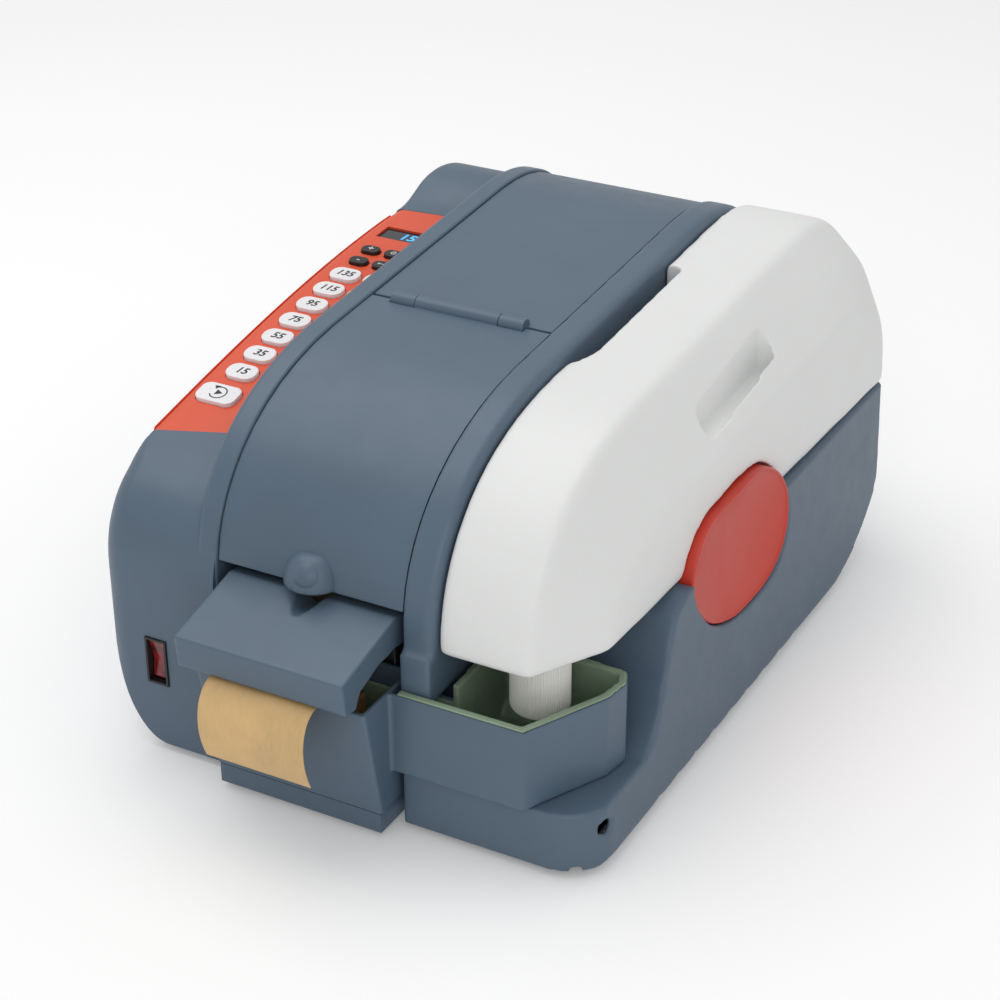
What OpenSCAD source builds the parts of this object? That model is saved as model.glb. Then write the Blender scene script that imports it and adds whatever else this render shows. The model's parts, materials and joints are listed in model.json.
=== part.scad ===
// Gummed tape dispenser for a packing counter.
// Measured from the left groove of the tape lane: X to the bottle side, Y to the rear, Z up from the base.

/* [Tape] */
// Width of the gummed tape
tape_w = 60; // [40:1:80]
// Outer diameter of the tape roll
roll_d = 176; // [120:1:184]
// Inner diameter of the cardboard core
core_d = 44; // [30:1:60]

/* [Body] */
// Width of the tape lane between the two ridges
lane_w = 106; // [104:1:112]
// Width of the right ridge beside the covers
ridge_w = 17; // [15:1:20]
// Width of the left ridge beside the covers
left_ridge_w = 13; // [12:1:16]
// Width of the control column outside the left ridge
column_w = 60; // [56:1:64]
// Width of the bottle bay outside the right ridge
bay_w = 82; // [80:1:90]
// How far the right side spreads between the bottle joint and the floor
side_flare = 6; // [2:1:10]
// Front plane of the casings
front_y = 33; // [32:0.5:34]
// Rearmost point of the casings
rear_y = 427; // [424:1:436]
// Wall thickness of the mouldings
wall = 3; // [2:0.5:3.5]
// Height of the rubber feet
foot_h = 4; // [2:0.5:8]

/* [Covers] */
// Thickness of the two hinged covers
cover_t = 2.5; // [2:0.1:3]
// How far the covers lie below the ridges
cover_sink = 1.5; // [1:0.1:2]
// Where the two covers meet
split_y = 189; // [180:1:200]
// Radius of the hinge barrels
barrel_r = 4.5; // [4:0.1:5]
// Radius of the hinge pins
pin_r = 1.5; // [1.2:0.1:2]

/* [Keys] */
// Width of a number key
key_w = 18; // [16:0.5:19]
// Length of a number key along the panel
key_l = 12.5; // [11:0.5:13]
// Distance from one number key to the next
key_pitch = 17.3; // [17:0.1:18]
// Travel of every key
key_travel = 1.5; // [1:0.1:2]

/* [Water] */
// Height of the joint between bottle and casing
joint_z = 99; // [96:1:102]
// Height of the tank rim
rim_z = 78; // [74:1:79]
// Wall of the tank housing
tank_wall = 2.5; // [2:0.1:3]

/* [Hidden] */
$fn = 48;

grey = [0.39, 0.44, 0.50];
dark_grey = [0.30, 0.34, 0.39];
orange = [0.86, 0.36, 0.25];
white = [0.93, 0.93, 0.92];
black = [0.08, 0.08, 0.09];
steel = [0.72, 0.73, 0.75];
kraft = [0.75, 0.61, 0.42];
green = [0.30, 0.38, 0.30];

// Stations across the lane
left_x = -left_ridge_w - column_w;
ridge_right_x = lane_w + ridge_w;
bottle_x = ridge_right_x + bay_w;
right_x = bottle_x + side_flare;
lane_mid = lane_w / 2;
tape_x = [lane_mid - tape_w / 2, lane_mid + tape_w / 2];
gap = 0.5;
fit = 0.05;

// Rollers, cutter and roll
roll_c = [300, 111];
feed_c = [118, 79.5];
feed_r = 12;
pinch_c = [118, 102.8];
pinch_r = 9;
tape_t = 0.4;
nip = [118, 92.4];
mouth = [-6, 83.2];
curl_end = [-14.5, 42];
cut_y = 83;

// Shapes that repeat
function bezier(a, b, c, d, n) = [
    for (i = [0 : n - 1])
        let (t = i / n)
        pow(1 - t, 3) * a + 3 * t * pow(1 - t, 2) * b + 3 * t * t * (1 - t) * c + pow(t, 3) * d
];
function arc(c, r, from, to, n) = [
    for (i = [0 : n]) let (a = from + (to - from) * i / n) c + r * [cos(a), sin(a)]
];
function unit(v) = v / norm(v);
function inward(a, b) = let (d = unit(b - a)) [d[1], -d[0]];
// Moves every side of a clockwise outline inwards by e
function inset(p, e) = [
    for (i = [0 : len(p) - 1])
        let (n = len(p), a = inward(p[(i + n - 1) % n], p[i]), b = inward(p[i], p[(i + 1) % n]))
        p[i] + e * (a + b) / (1 + a * b)
];
function offset_path(p, e) = [
    for (i = [0 : len(p) - 1])
        p[i] + e * inward(p[max(i - 1, 0)], p[min(i + 1, len(p) - 1)])
];
function reversed(p) = [for (i = [len(p) - 1 : -1 : 0]) p[i]];

// Side outline of both ridges: a steep curved nose, a long rising top and a rounded back
ridge_outline = concat(
    [[front_y, 0]],
    bezier([35, 110], [35, 152], [70, 194.6], [150, 201], 12),
    [[150, 201]],
    bezier([330, 212.8], [398, 216], [rear_y, 186], [rear_y, 95], 12),
    bezier([rear_y, 75], [rear_y, 35], [rear_y - 17, 0], [rear_y - 45, 0], 8),
    [[rear_y - 45, 0]]
);
// Side outline of the control column: it ends in a raised bar behind the keys
key_curve = concat(bezier([82, 151.4], [150, 165.5], [235, 181.5], [318, 184.5], 16), [[318, 184.5]]);
column_outline = concat(
    [[front_y - 1, 0]],
    bezier([front_y - 1, 96], [front_y - 1, 132], [52, 147], [82, 151.4], 10),
    key_curve,
    bezier([335, 184.7], [352, 184.4], [361, 196.6], [382, 196.2], 8),
    bezier([382, 196.2], [410, 195.6], [rear_y, 172], [rear_y, 95], 10),
    bezier([rear_y, 75], [rear_y, 35], [rear_y - 17, 0], [rear_y - 45, 0], 8),
    [[rear_y - 45, 0]]
);
// Side outline of the low right half that carries the bottle
shelf_outline = concat(
    [[front_y - 2, 0], [front_y - 2, joint_z], [rear_y - 2.5, joint_z]],
    bezier([rear_y, 75], [rear_y, 35], [rear_y - 17, 0], [rear_y - 45, 0], 8),
    [[rear_y - 45, 0]]
);
// Inner and outer side outlines of the bottle
bottle_outline = concat(
    bezier([37, joint_z], [37, 150], [70, 191.5], [150, 197.5], 12),
    [[150, 197.5]],
    bezier([330, 209.8], [398, 213], [rear_y - 2, 182], [rear_y - 2, joint_z], 12),
    [[rear_y - 2, joint_z]]
);
bottle_side_outline = concat(
    bezier([77, joint_z], [80, 135], [108, 152.5], [172, 154], 10),
    [[172, 154]],
    bezier([325, 164.5], [395, 168], [rear_y - 10, 146], [rear_y - 9, joint_z], 10),
    [[rear_y - 9, joint_z]]
);
bottle_facet_x = ridge_right_x + 49.5;
bottle_turn_y = 205;
bottle_turn = 4.3;
// Side outline of the dished cover on the right
dish_outline = concat(
    bezier([155, 96], [158, 118], [172, 130], [200, 130], 6),
    bezier([200, 130], [240, 130.5], [272, 108], [273, 84], 6),
    bezier([273, 84], [271, 64], [256, 55], [228, 55], 6),
    bezier([228, 55], [190, 54.5], [153, 74], [155, 96], 6)
);
// Path of the cut strip that hangs out of the mouth
strip_start = [cut_y - 1.5, nip[1] - 2.6];
strip_path = concat([strip_start], bezier(mouth, [-20, 82], [-24, 62], curl_end, 12), [curl_end]);
front_tip_y = min([for (p = strip_path) p[0]]) - tape_t / 2;

part_shift = [-(left_x + right_x) / 2, -(front_tip_y + rear_y) / 2, foot_h];
module part_frame() translate(part_shift) children();

module along_x(x0, x1) translate([x0, 0, 0]) rotate([90, 0, 90]) linear_extrude(x1 - x0) children();
module along_y(y0, y1) translate([0, y1, 0]) rotate([90, 0, 0]) linear_extrude(y1 - y0) children();
module along_z(z0, z1) translate([0, 0, z0]) linear_extrude(z1 - z0) children();
module box(low, high) translate(low) cube(high - low);
module rod(x0, x1, c, r) translate([x0, c[0], c[1]]) rotate([0, 90, 0]) cylinder(h = x1 - x0, r = r);
module round_rect(w, l, r) {
    square([w - 2 * r, l], center = true);
    square([w, l - 2 * r], center = true);
    for (x = [-1, 1], y = [-1, 1]) translate([x * (w / 2 - r), y * (l / 2 - r)]) circle(r);
}

// ---- Casings ----
column_plan = concat(
    arc([left_x + 20, front_y - 1 + 20], 20, 270, 180, 10),
    arc([left_x + 26, rear_y - 26], 26, 180, 90, 10),
    [[2, rear_y], [2, front_y - 1]]
);
column_section = concat(
    [[2, 0]],
    arc([left_x + 36, 36], 36, 270, 180, 12),
    [[left_x, 230], [2, 230]]
);
module column_solid(e) intersection() {
    along_x(left_x + e, -e) polygon(inset(column_outline, e));
    along_z(-1, 230) polygon(inset(column_plan, e));
    along_y(0, rear_y + 10) polygon(inset(column_section, e));
}
panel_plan = [[left_x - 1, 83], [left_x - 1, 333.3], [-left_ridge_w, 338.7], [-left_ridge_w, 101.7]];
panel_t = 3;
panel_lip = 8;
// The skin that the control panel takes the place of
module panel_zone(e) intersection() {
    along_z(100, 230) polygon(inset(panel_plan, -e));
    union() {
        along_x(left_x - 1, -left_ridge_w + e) difference() {
            polygon(column_outline);
            translate([0, -panel_t - e]) polygon(column_outline);
        }
        along_x(left_x - 1, left_x + panel_t + e) difference() {
            polygon(column_outline);
            translate([0, -panel_lip - e]) polygon(column_outline);
        }
    }
}
switch_at = [-39.2, 50.3];
inlet_at = [-42, 80];
// Screw posts that stand on the base pan
left_post_y = [90, 335];
right_post_y = [150, 335];
post_r = 5;
module left_casing() color(grey) part_frame() difference() {
    union() {
        column_solid(0);
        along_x(-left_ridge_w, 0) polygon(ridge_outline);
    }
    difference() {
        union() {
            column_solid(wall);
            along_x(-left_ridge_w + wall, -wall) polygon(inset(ridge_outline, wall));
        }
        for (y = left_post_y) translate([-24, y, 0]) cylinder(h = 230, r = post_r);
    }
    // Opening for the base pan
    box([left_x + 38, front_y + 4, -1], [1, rear_y - 50, wall]);
    panel_zone(0.25);
    translate([switch_at[0], front_y - 5, switch_at[1]]) cube([13.4, 24, 27.4], center = true);
    translate([inlet_at[0], rear_y, inlet_at[1]]) cube([32.4, 40, 24.4], center = true);
    rod(-wall - 1, 1, feed_c, 6);
}

bay_outline = [
    [-60, 33], [-60, joint_z + 20], [150, joint_z + 20], [146, joint_z], [131, 93],
    [122, 76], [111, 52], [103, 40], [92, 33]
];
module tank_bay(e) {
    along_x(ridge_right_x - e, right_x + 5) polygon(inset(bay_outline, -e));
    along_x(lane_w - 5, ridge_right_x + 1) polygon(inset([[-60, 33], [-60, 74], [62, 74], [62, 33]], -e));
}
side_plan = concat(
    [[lane_w, front_y - 2], [lane_w, rear_y]],
    arc([right_x - 24, rear_y - 24], 24, 90, 0, 10),
    arc([right_x - 24, front_y - 2 + 24], 24, 0, -90, 10)
);
side_section = [[lane_w, 0], [lane_w, joint_z], [bottle_x, joint_z], [right_x, 3], [right_x - 3, 0]];
module right_solid(e) difference() {
    union() {
        along_x(lane_w + e, ridge_right_x - e) polygon(inset(ridge_outline, e));
        intersection() {
            along_x(lane_w + e, right_x + 1) polygon(inset(shelf_outline, e));
            along_z(-1, joint_z) polygon(inset(side_plan, e));
            along_y(0, rear_y + 1) polygon(inset(side_section, e));
        }
    }
    tank_bay(e);
}
dish_c = [214, 92.5];
function dish_grown(e) = [
    for (p = dish_outline)
        [dish_c[0] + (p[0] - dish_c[0]) * (59 + e) / 59, dish_c[1] + (p[1] - dish_c[1]) * (37.5 + e) / 37.5]
];
dish_back_x = bottle_x - 12;
hole_at = [48.6, 21.9];
scallop_pitch = 22;
module right_casing() color(grey) part_frame() difference() {
    right_solid(0);
    difference() {
        right_solid(wall);
        along_x(dish_back_x - wall, right_x + 1) polygon(dish_grown(wall));
        for (y = right_post_y) translate([150, y, 0]) cylinder(h = 230, r = post_r);
    }
    box([lane_w - 1, front_y + 2, -1], [right_x - 10, rear_y - 50, wall]);
    along_x(dish_back_x - 0.4, right_x + 1) polygon(dish_grown(0.4));
    rod(right_x - 10, right_x + 1, hole_at, 4);
    for (i = [0 : 9]) rod(right_x - 12, right_x + 1, [106 + i * scallop_pitch, -10], 13);
}

// Base with the front lip, the cradle ribs for the roll and the rear wall
rear_axis = [416.5, 149.5];
rear_barrel_r = 4.2;
module base_pan() color(grey) part_frame() difference() {
    union() {
        box([left_x + 40, front_y + 8, 0], [right_x - 14, rear_y - 54, wall]);
        box([6.2, 18.3, 0], [101, front_y + 9, 11]);
        along_x(gap, lane_w - gap) intersection() {
            difference() {
                polygon(ridge_outline);
                polygon(inset(ridge_outline, wall));
            }
            translate([300, 0]) square([200, 144.5]);
        }
        box([gap, rear_y - 60, 0], [lane_w - gap, rear_y - 44, wall]);
        for (x = [4, 86.5]) {
            rod(x, x + 15.5, rear_axis, rear_barrel_r);
            box([x, rear_axis[0] - 2.5, 140], [x + 15.5, rear_axis[0] + 3.5, rear_axis[1]]);
        }
        for (x = [26, 48, 76]) along_x(x, x + 4) difference() {
            translate([230, wall - 0.5]) square([140, 45]);
            translate(roll_c) circle(r = roll_d / 2 + 0.4, $fn = 96);
        }
        box([8, 295, wall - 0.5], [98, 305, 12]);
    }
    for (x = [3, 85.5]) rod(x, x + 17.5, rear_axis, pin_r + fit / 2);
    for (p = foot_places) translate([p[0], p[1], -1]) cylinder(h = 5, r = 2.2);
}
foot_places = [[-22, 60], [-22, 350], [185, 60], [185, 350]];
foot_r = 10;
module rubber_feet() color(black) part_frame() for (p = foot_places) translate([p[0], p[1], -foot_h])
    difference() {
        cylinder(h = foot_h, r1 = foot_r - 1, r2 = foot_r);
        translate([0, 0, -1]) cylinder(h = foot_h + 2, r = 2.2);
        translate([0, 0, -1]) cylinder(h = foot_h - 0.5, r = 4.5);
    }

// ---- Chassis ----
plate_outline = [
    [62, wall], [62, 92], [74, 118], [140, 118], [165, 60], [390, 50], [395, 12], [370, wall]
];
hood_axis = [68, 99];
module side_plate(x0) difference() {
    along_x(x0, x0 + 1.5) polygon(plate_outline);
    rod(x0 - 1, x0 + 3, feed_c, 4 + fit);
    rod(x0 - 1, x0 + 3, pinch_c, 3 + fit);
    rod(x0 - 1, x0 + 3, hood_axis, 2.5 + fit);
    for (y = [200, 260, 320]) rod(x0 - 1, x0 + 3, [y, 30], 12);
}
plate_x = [3.2, lane_w - 4.7];
module left_side_plate() color(steel) part_frame() side_plate(plate_x[0]);
module right_side_plate() color(steel) part_frame() side_plate(plate_x[1]);

// ---- Covers ----
split_axis = [split_y, 201.8];
module cover_skin(low, high, depth) intersection() {
    difference() {
        polygon(inset(ridge_outline, cover_sink));
        polygon(inset(ridge_outline, cover_sink + depth));
    }
    translate(low) square(high - low);
}
module cover_shell(low, high) {
    along_x(gap, lane_w - gap) cover_skin(low, high, cover_t);
    for (x = [gap, lane_w - gap - 2]) along_x(x, x + 2) cover_skin(low, high, 7);
}
knuckle_x = [13, 27.3, 76.7, 91];
module front_cover() color(grey) part_frame() difference() {
    union() {
        difference() {
            cover_shell([0, 118.7], [split_y - 0.7, 230]);
            for (i = [0, 2])
                rod(knuckle_x[i] - gap, knuckle_x[i + 1] + gap, split_axis, barrel_r + 0.6);
        }
        rod(knuckle_x[1] + 0.3, knuckle_x[2] - 0.3, split_axis, barrel_r);
        intersection() {
            translate([lane_mid + 1, 38, 124]) sphere(r = 10);
            box([0, 20, 118.7], [lane_w, 40, 140]);
        }
    }
    rod(0, lane_w, split_axis, pin_r + fit);
}
module cover_hinge_pin() color(steel) part_frame()
    rod(knuckle_x[0] + 1, knuckle_x[3] - 1, split_axis, pin_r);
rear_knuckle_x = [20, 86];
module rear_cover() color(grey) part_frame() difference() {
    union() {
        difference() {
            cover_shell([split_y + 0.7, 154.5], [rear_y, 230]);
            rod(knuckle_x[1], knuckle_x[2], split_axis, barrel_r + 0.6);
        }
        for (i = [0, 2]) rod(knuckle_x[i], knuckle_x[i + 1], split_axis, barrel_r);
        rod(rear_knuckle_x[0], rear_knuckle_x[1], rear_axis, rear_barrel_r);
        along_x(rear_knuckle_x[0], rear_knuckle_x[1]) translate(rear_axis) translate([-1.5, 0]) square([4, 7.5]);
    }
    rod(knuckle_x[0] + 1, knuckle_x[3] - 1, split_axis, pin_r + fit / 2);
    rod(0, lane_w, rear_axis, pin_r + fit);
}
module rear_hinge_pin() color(steel) part_frame() rod(3, lane_w - 3, rear_axis, pin_r);

// ---- Press hood over the mouth ----
hood_x = [5.9, 101.2];
hood_side = [
    [-11.8, 103], [37.4, 114.2], [60, 110], [74, 104], [74, 94], [62, 93],
    [38, 97], [22, 96.5], [4, 91], [0, 83.5], [-9.7, 85]
];
module press_hood() color(grey) part_frame() difference() {
    union() {
        along_x(hood_x[0], hood_x[1]) intersection() {
            polygon(hood_side);
            translate([-20, 0]) square([66, 200]);
        }
        for (x = [hood_x[0], hood_x[1] - wall]) along_x(x, x + wall) polygon(hood_side);
        rod(plate_x[0] - 0.2, hood_x[0] + 1, hood_axis, 2.5);
        rod(hood_x[1] - 1, plate_x[1] + 1.7, hood_axis, 2.5);
    }
    difference() {
        along_x(hood_x[0] + wall, hood_x[1] - wall) polygon([
            [-8.2, 60], [-8.7, 100.4], [38, 110.8], [80, 110.8], [80, 60]
        ]);
        hood_scoop(2.5);
    }
    hood_scoop(0);
}
// Finger scoop that tapers towards the front edge
module hood_scoop(e) translate([lane_mid + 1, 8 - e, 114]) rotate([-90, 0, 0])
    cylinder(h = 38 + e, r1 = 0.5 + e, r2 = 9.5 + e);
// Weighted steel shoe that presses the tape onto the brushes, on two brackets under the hood
module press_plate() color(steel) part_frame() {
    along_x(tape_x[0] + 1, tape_x[1] - 1) polygon([
        [2, 90.5], [6, 87.2], [40, 89], [46, 94],
        [45, 95.2], [39.5, 90.4], [6.5, 88.6], [3, 91.5]
    ]);
    for (x = [tape_x[0] + 8, tape_x[1] - 10]) along_x(x, x + 2) polygon([
        [12, 88.4], [12, 104.9], [30, 108.9], [30, 89.4]
    ]);
}

// ---- Control panel ----
function panel_z(y) = lookup(y, key_curve);
function panel_slope(y) = atan((panel_z(y + 3) - panel_z(y - 3)) / 6);
module on_panel(x, y) translate([x, y, panel_z(y)]) rotate([panel_slope(y), 0, 0]) children();
column_a = -53;
column_b = -31.5;
first_key_y = 141.8;
start_at = [-54, 121];
start_size = [24, 15];
small_size = [11.5, 7.5];
minus_at = [-54.5, 262.5];
plus_at = [-55, 276.5];
enter_at = [-39.5, 262.5];
set_at = [-40, 276.5];
display_at = [-46, 302];
display_size = [34, 14];
function number_at(column, i) = [column, first_key_y + i * key_pitch];
// Every key as its place, its size and its corner radius
number_size = [key_w, key_l];
all_keys = concat(
    [[start_at, start_size, 5]],
    [for (i = [0 : 6]) [number_at(column_a, i), number_size, 5.5]],
    [for (i = [0 : 6]) [number_at(column_b, i), number_size, 5.5]],
    [for (p = [minus_at, plus_at, enter_at, set_at]) [p, small_size, 3.6]]
);
module key_cap(at, size, r) on_panel(at[0], at[1]) {
    translate([0, 0, -6]) linear_extrude(8.2) round_rect(size[0], size[1], r);
    translate([0, 0, -panel_t - 1.6]) linear_extrude(1.2) round_rect(size[0] + 1.8, size[1] + 1.8, r + 0.9);
}
module control_panel() color(orange) part_frame() difference() {
    intersection() {
        column_solid(0);
        panel_zone(0);
    }
    for (k = all_keys) on_panel(k[0][0], k[0][1]) translate([0, 0, -6])
        linear_extrude(12) round_rect(k[1][0] + 0.9, k[1][1] + 0.9, k[2] + 0.45);
    on_panel(display_at[0], display_at[1]) translate([0, 0, -6])
        linear_extrude(12) square(display_size, center = true);
}
module display_window() color(black) part_frame() on_panel(display_at[0], display_at[1])
    translate([0, 0, -2.6]) linear_extrude(1.4) square(display_size - [0.3, 0.3], center = true);
board_slope = 7.7;
module control_board() color([0.10, 0.32, 0.20]) part_frame() {
    translate([left_x + 7, 105, 139]) rotate([board_slope, 0, 0]) cube([46, 215, 1.6]);
    on_panel(display_at[0], display_at[1]) translate([0, 0, -17.6]) linear_extrude(14.4)
        square(display_size - [2, 2], center = true);
}
module key_start() color(white) part_frame() key_cap(start_at, start_size, 5);
module number_key(column, i) color(white) part_frame()
    key_cap(number_at(column, i), number_size, 5.5);
module key_15() number_key(column_a, 0);
module key_35() number_key(column_a, 1);
module key_55() number_key(column_a, 2);
module key_75() number_key(column_a, 3);
module key_95() number_key(column_a, 4);
module key_115() number_key(column_a, 5);
module key_135() number_key(column_a, 6);
module key_25() number_key(column_b, 0);
module key_45() number_key(column_b, 1);
module key_65() number_key(column_b, 2);
module key_85() number_key(column_b, 3);
module key_105() number_key(column_b, 4);
module key_125() number_key(column_b, 5);
module key_145() number_key(column_b, 6);
module small_key(at) color(black) part_frame() key_cap(at, small_size, 3.6);
module key_minus() small_key(minus_at);
module key_plus() small_key(plus_at);
module key_enter() small_key(enter_at);
module key_set() small_key(set_at);

// ---- Power ----
rocker_axis = [front_y + 5, switch_at[1]];
module switch_housing() color(black) part_frame() difference() {
    translate([switch_at[0], front_y + 8, switch_at[1]]) cube([13, 20, 27], center = true);
    translate([switch_at[0], front_y, switch_at[1]]) cube([10.4, 22, 24.4], center = true);
    rod(switch_at[0] - 6, switch_at[0] + 6, rocker_axis, 1.3 + fit);
}
module switch_rocker() color([0.45, 0.06, 0.06]) part_frame() {
    rod(switch_at[0] - 5.8, switch_at[0] + 5.8, rocker_axis, 1.3);
    intersection() {
        along_x(switch_at[0] - 4.9, switch_at[0] + 4.9) translate(rocker_axis) polygon([
            [-3.6, -11], [-2.4, 0], [-5.2, 11], [-1.5, 11.2], [2.2, 3], [2.2, -3], [-1, -11.2]
        ]);
        rod(switch_at[0] - 6, switch_at[0] + 6, rocker_axis, 11.9);
    }
}
module power_inlet() color(black) part_frame() difference() {
    union() {
        translate([inlet_at[0], rear_y - 16, inlet_at[1]]) cube([32, 28, 24], center = true);
        box([inlet_at[0] - 18, rear_y - 12, inlet_at[1] - 14], [inlet_at[0] + 18, rear_y - 10, inlet_at[1] + 14]);
    }
    translate([inlet_at[0], rear_y - 10, inlet_at[1]]) cube([26, 24, 17], center = true);
}

// ---- Water bottle ----
cap_c = [163, 68];
cap_r = 15;
neck_r = 12;
grip_slot = [[192, 222], [12, 100]];
module bottle_body() hull() {
    along_x(ridge_right_x + gap, bottle_facet_x) polygon(bottle_outline);
    intersection() {
        along_x(bottle_x - 0.4, bottle_x) polygon(bottle_side_outline);
        box([0, bottle_turn_y, 0], [right_x, rear_y, 230]);
    }
    translate([bottle_x, bottle_turn_y, 0]) rotate([0, 0, -bottle_turn])
        translate([-bottle_x, -bottle_turn_y, 0]) intersection() {
            along_x(bottle_x - 0.4, bottle_x) polygon(bottle_side_outline);
            box([0, 0, 0], [right_x, bottle_turn_y, 230]);
        }
}
module bottle() color(white) part_frame() difference() {
    union() {
        bottle_body();
        translate([cap_c[0], cap_c[1], joint_z - 18]) cylinder(h = 20, r = neck_r);
    }
    // Water space and the bore of the neck
    along_x(ridge_right_x + gap + 14, bottle_facet_x - 1) polygon(inset(bottle_outline, 4));
    translate([cap_c[0], cap_c[1], joint_z - 20]) cylinder(h = 30, r = neck_r - 2);
    along_x(dish_back_x - 2, right_x + 1) polygon(dish_grown(1.5));
    // Finger notch beside the ridge and grip slot in the sloping side
    box([ridge_right_x - 1, 176, 168], [ridge_right_x + 10, 286, 230]);
    translate([grip_slot[0][0], grip_slot[0][1], 154]) linear_extrude(60)
        round_rect(grip_slot[1][0], grip_slot[1][1], 5.9);
}
// Grip ribs run round the cap, one for every four steps of its outline
cap_steps = 96;
cap_rib = 0.5;
module bottle_cap() color(white) part_frame() difference() {
    translate([cap_c[0], cap_c[1], joint_z - 33]) union() {
        cylinder(h = 2, r = cap_r - cap_rib);
        translate([0, 0, 1.5]) linear_extrude(30.5) polygon([
            for (i = [0 : cap_steps - 1])
                let (a = 360 * i / cap_steps, r = i % 4 < 2 ? cap_r : cap_r - cap_rib)
                [r * cos(a), r * sin(a)]
        ]);
    }
    translate([cap_c[0], cap_c[1], joint_z - 19]) cylinder(h = 20, r = neck_r + fit);
    translate([cap_c[0], cap_c[1], joint_z - 34]) cylinder(h = 16, r = 3 + fit);
    translate([cap_c[0], cap_c[1], joint_z - 29]) cylinder(h = 11, r = 7);
}
module valve_plunger() color(dark_grey) part_frame() translate([cap_c[0], cap_c[1], joint_z - 38]) {
    cylinder(h = 18, r = 3);
    translate([0, 0, 9.3]) cylinder(h = 2, r = 6.4);
}
module side_dish() color([0.70, 0.25, 0.20]) part_frame() difference() {
    along_x(dish_back_x, bottle_x + 2.5) polygon(dish_grown(0));
    along_x(bottle_x - 1, bottle_x + 4) polygon(dish_grown(-5));
}

// ---- Tank ----
tray_plan = [
    [100, 26], [100, 50], [126, 50], [126, 97.5], [181, 97.5],
    [196, 96.5], [200.2, 87], [197.9, 71.6], [175.6, 26]
];
// Side outlines of the apron with its sloping front and of the tank with its sloping back edge
apron_side = [[-4.7, 120], [52, 120], [52, 12.5], [16.2, 12.5]];
tray_side = [[10, 120], [97.5, 120], [97.5, 43], [89, 33.5], [10, 33.5]];
module tank_solid(e, top) {
    intersection() {
        along_x(6.4 + e, 103 - e) polygon(inset(apron_side, e));
        box([0, 0, 0], [110, 50 - e, top]);
    }
    intersection() {
        along_z(33, top) polygon(inset(tray_plan, e));
        along_x(95, 205) polygon(inset(tray_side, e));
    }
}
module foot_clearance() box([103.2, 30, 69], [ridge_right_x + 4, 60, 90]);
module tank_housing() color(grey) part_frame() difference() {
    tank_solid(0, rim_z);
    tank_solid(tank_wall, rim_z + 1);
    foot_clearance();
}
module water_tray() color(green) part_frame() difference() {
    union() {
        tank_solid(tank_wall + 0.3, rim_z + 1.2);
        intersection() {
            tank_solid(0.3, rim_z + 1.2);
            box([0, 0, rim_z + 0.2], [220, 120, rim_z + 2]);
        }
    }
    difference() {
        tank_solid(tank_wall + 1.8, rim_z + 2);
        // Post that pushes the bottle's valve open
        translate([cap_c[0], cap_c[1], 30]) cylinder(h = joint_z - 38.3 - 30, r = 4);
    }
    foot_clearance();
}
brush_y = [26, 38];
module tank_brushes() color([0.55, 0.45, 0.30]) part_frame() for (y = brush_y) {
    box([26, y - 4.5, 17.2], [80, y + 4.5, 62]);
    box([28, y - 3.5, 62], [78, y + 3.5, 84.2]);
}

// ---- Tape ----
module tape_roll() color(kraft) part_frame() difference() {
    rod(tape_x[0], tape_x[1], roll_c, roll_d / 2, $fn = 96);
    rod(tape_x[0] - 1, tape_x[1] + 1, roll_c, core_d / 2 + 3.02);
}
module roll_core() color([0.55, 0.42, 0.30]) part_frame() difference() {
    rod(tape_x[0], tape_x[1], roll_c, core_d / 2 + 3);
    rod(tape_x[0] - 1, tape_x[1] + 1, roll_c, core_d / 2);
}
module ribbon(path) along_x(tape_x[0], tape_x[1]) polygon(concat(
    offset_path(path, tape_t / 2), reversed(offset_path(path, -tape_t / 2))
));
web_start = [cut_y + 1.5, nip[1] - 2.3];
module tape_web() color(kraft) part_frame() ribbon([web_start, nip, [126, 96.5], [247.2, 186.2]]);
module cut_strip() color(kraft) part_frame() ribbon(strip_path);

// ---- Feed drive ----
gear_teeth = 42;
pinion_teeth = 14;
gear_module = 1.5;
pressure_angle = 20;
backlash = 4;
drive_angle = -35;
pinion_c = feed_c + gear_module * (gear_teeth + pinion_teeth) / 2 * [cos(drive_angle), sin(drive_angle)];
function involute(base, r) = let (a = acos(base / r)) tan(a) * 180 / PI - a;
function gear_outline(teeth) =
    let (
        pitch = gear_module * teeth / 2,
        root = pitch - 1.2 * gear_module,
        tip = pitch + 0.9 * gear_module,
        base = pitch * cos(pressure_angle),
        low = max(base, root),
        radii = [for (k = [0 : 3]) low + (tip - low) * k / 3],
        half = [for (r = radii) 90 / teeth + involute(base, pitch) - involute(base, r) - backlash / teeth]
    )
    [for (i = [0 : teeth - 1]) let (a = 360 * i / teeth) each concat(
        [root * [cos(a - half[0]), sin(a - half[0])]],
        [for (k = [0 : 3]) radii[k] * [cos(a - half[k]), sin(a - half[k])]],
        [for (k = [3 : -1 : 0]) radii[k] * [cos(a + half[k]), sin(a + half[k])]],
        [root * [cos(a + half[0]), sin(a + half[0])]]
    )];
gear_x = [-15, -7];
module drive_gear() color(white) part_frame() difference() {
    along_x(gear_x[0], gear_x[1]) translate(feed_c) rotate(drive_angle) polygon(gear_outline(gear_teeth));
    rod(gear_x[0] - 1, gear_x[1] + 1, feed_c, 4.01);
    for (a = [0 : 60 : 300]) rod(gear_x[0] - 1, gear_x[1] + 1, feed_c + 18 * [cos(a), sin(a)], 6);
}
module feed_shaft() color(steel) part_frame() rod(gear_x[0] - 2, lane_w - 1, feed_c, 4);
module feed_roller() color(black) part_frame() difference() {
    rod(tape_x[0] - 2, tape_x[1] + 2, feed_c, feed_r);
    rod(tape_x[0] - 3, tape_x[1] + 3, feed_c, 4.01);
}
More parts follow.
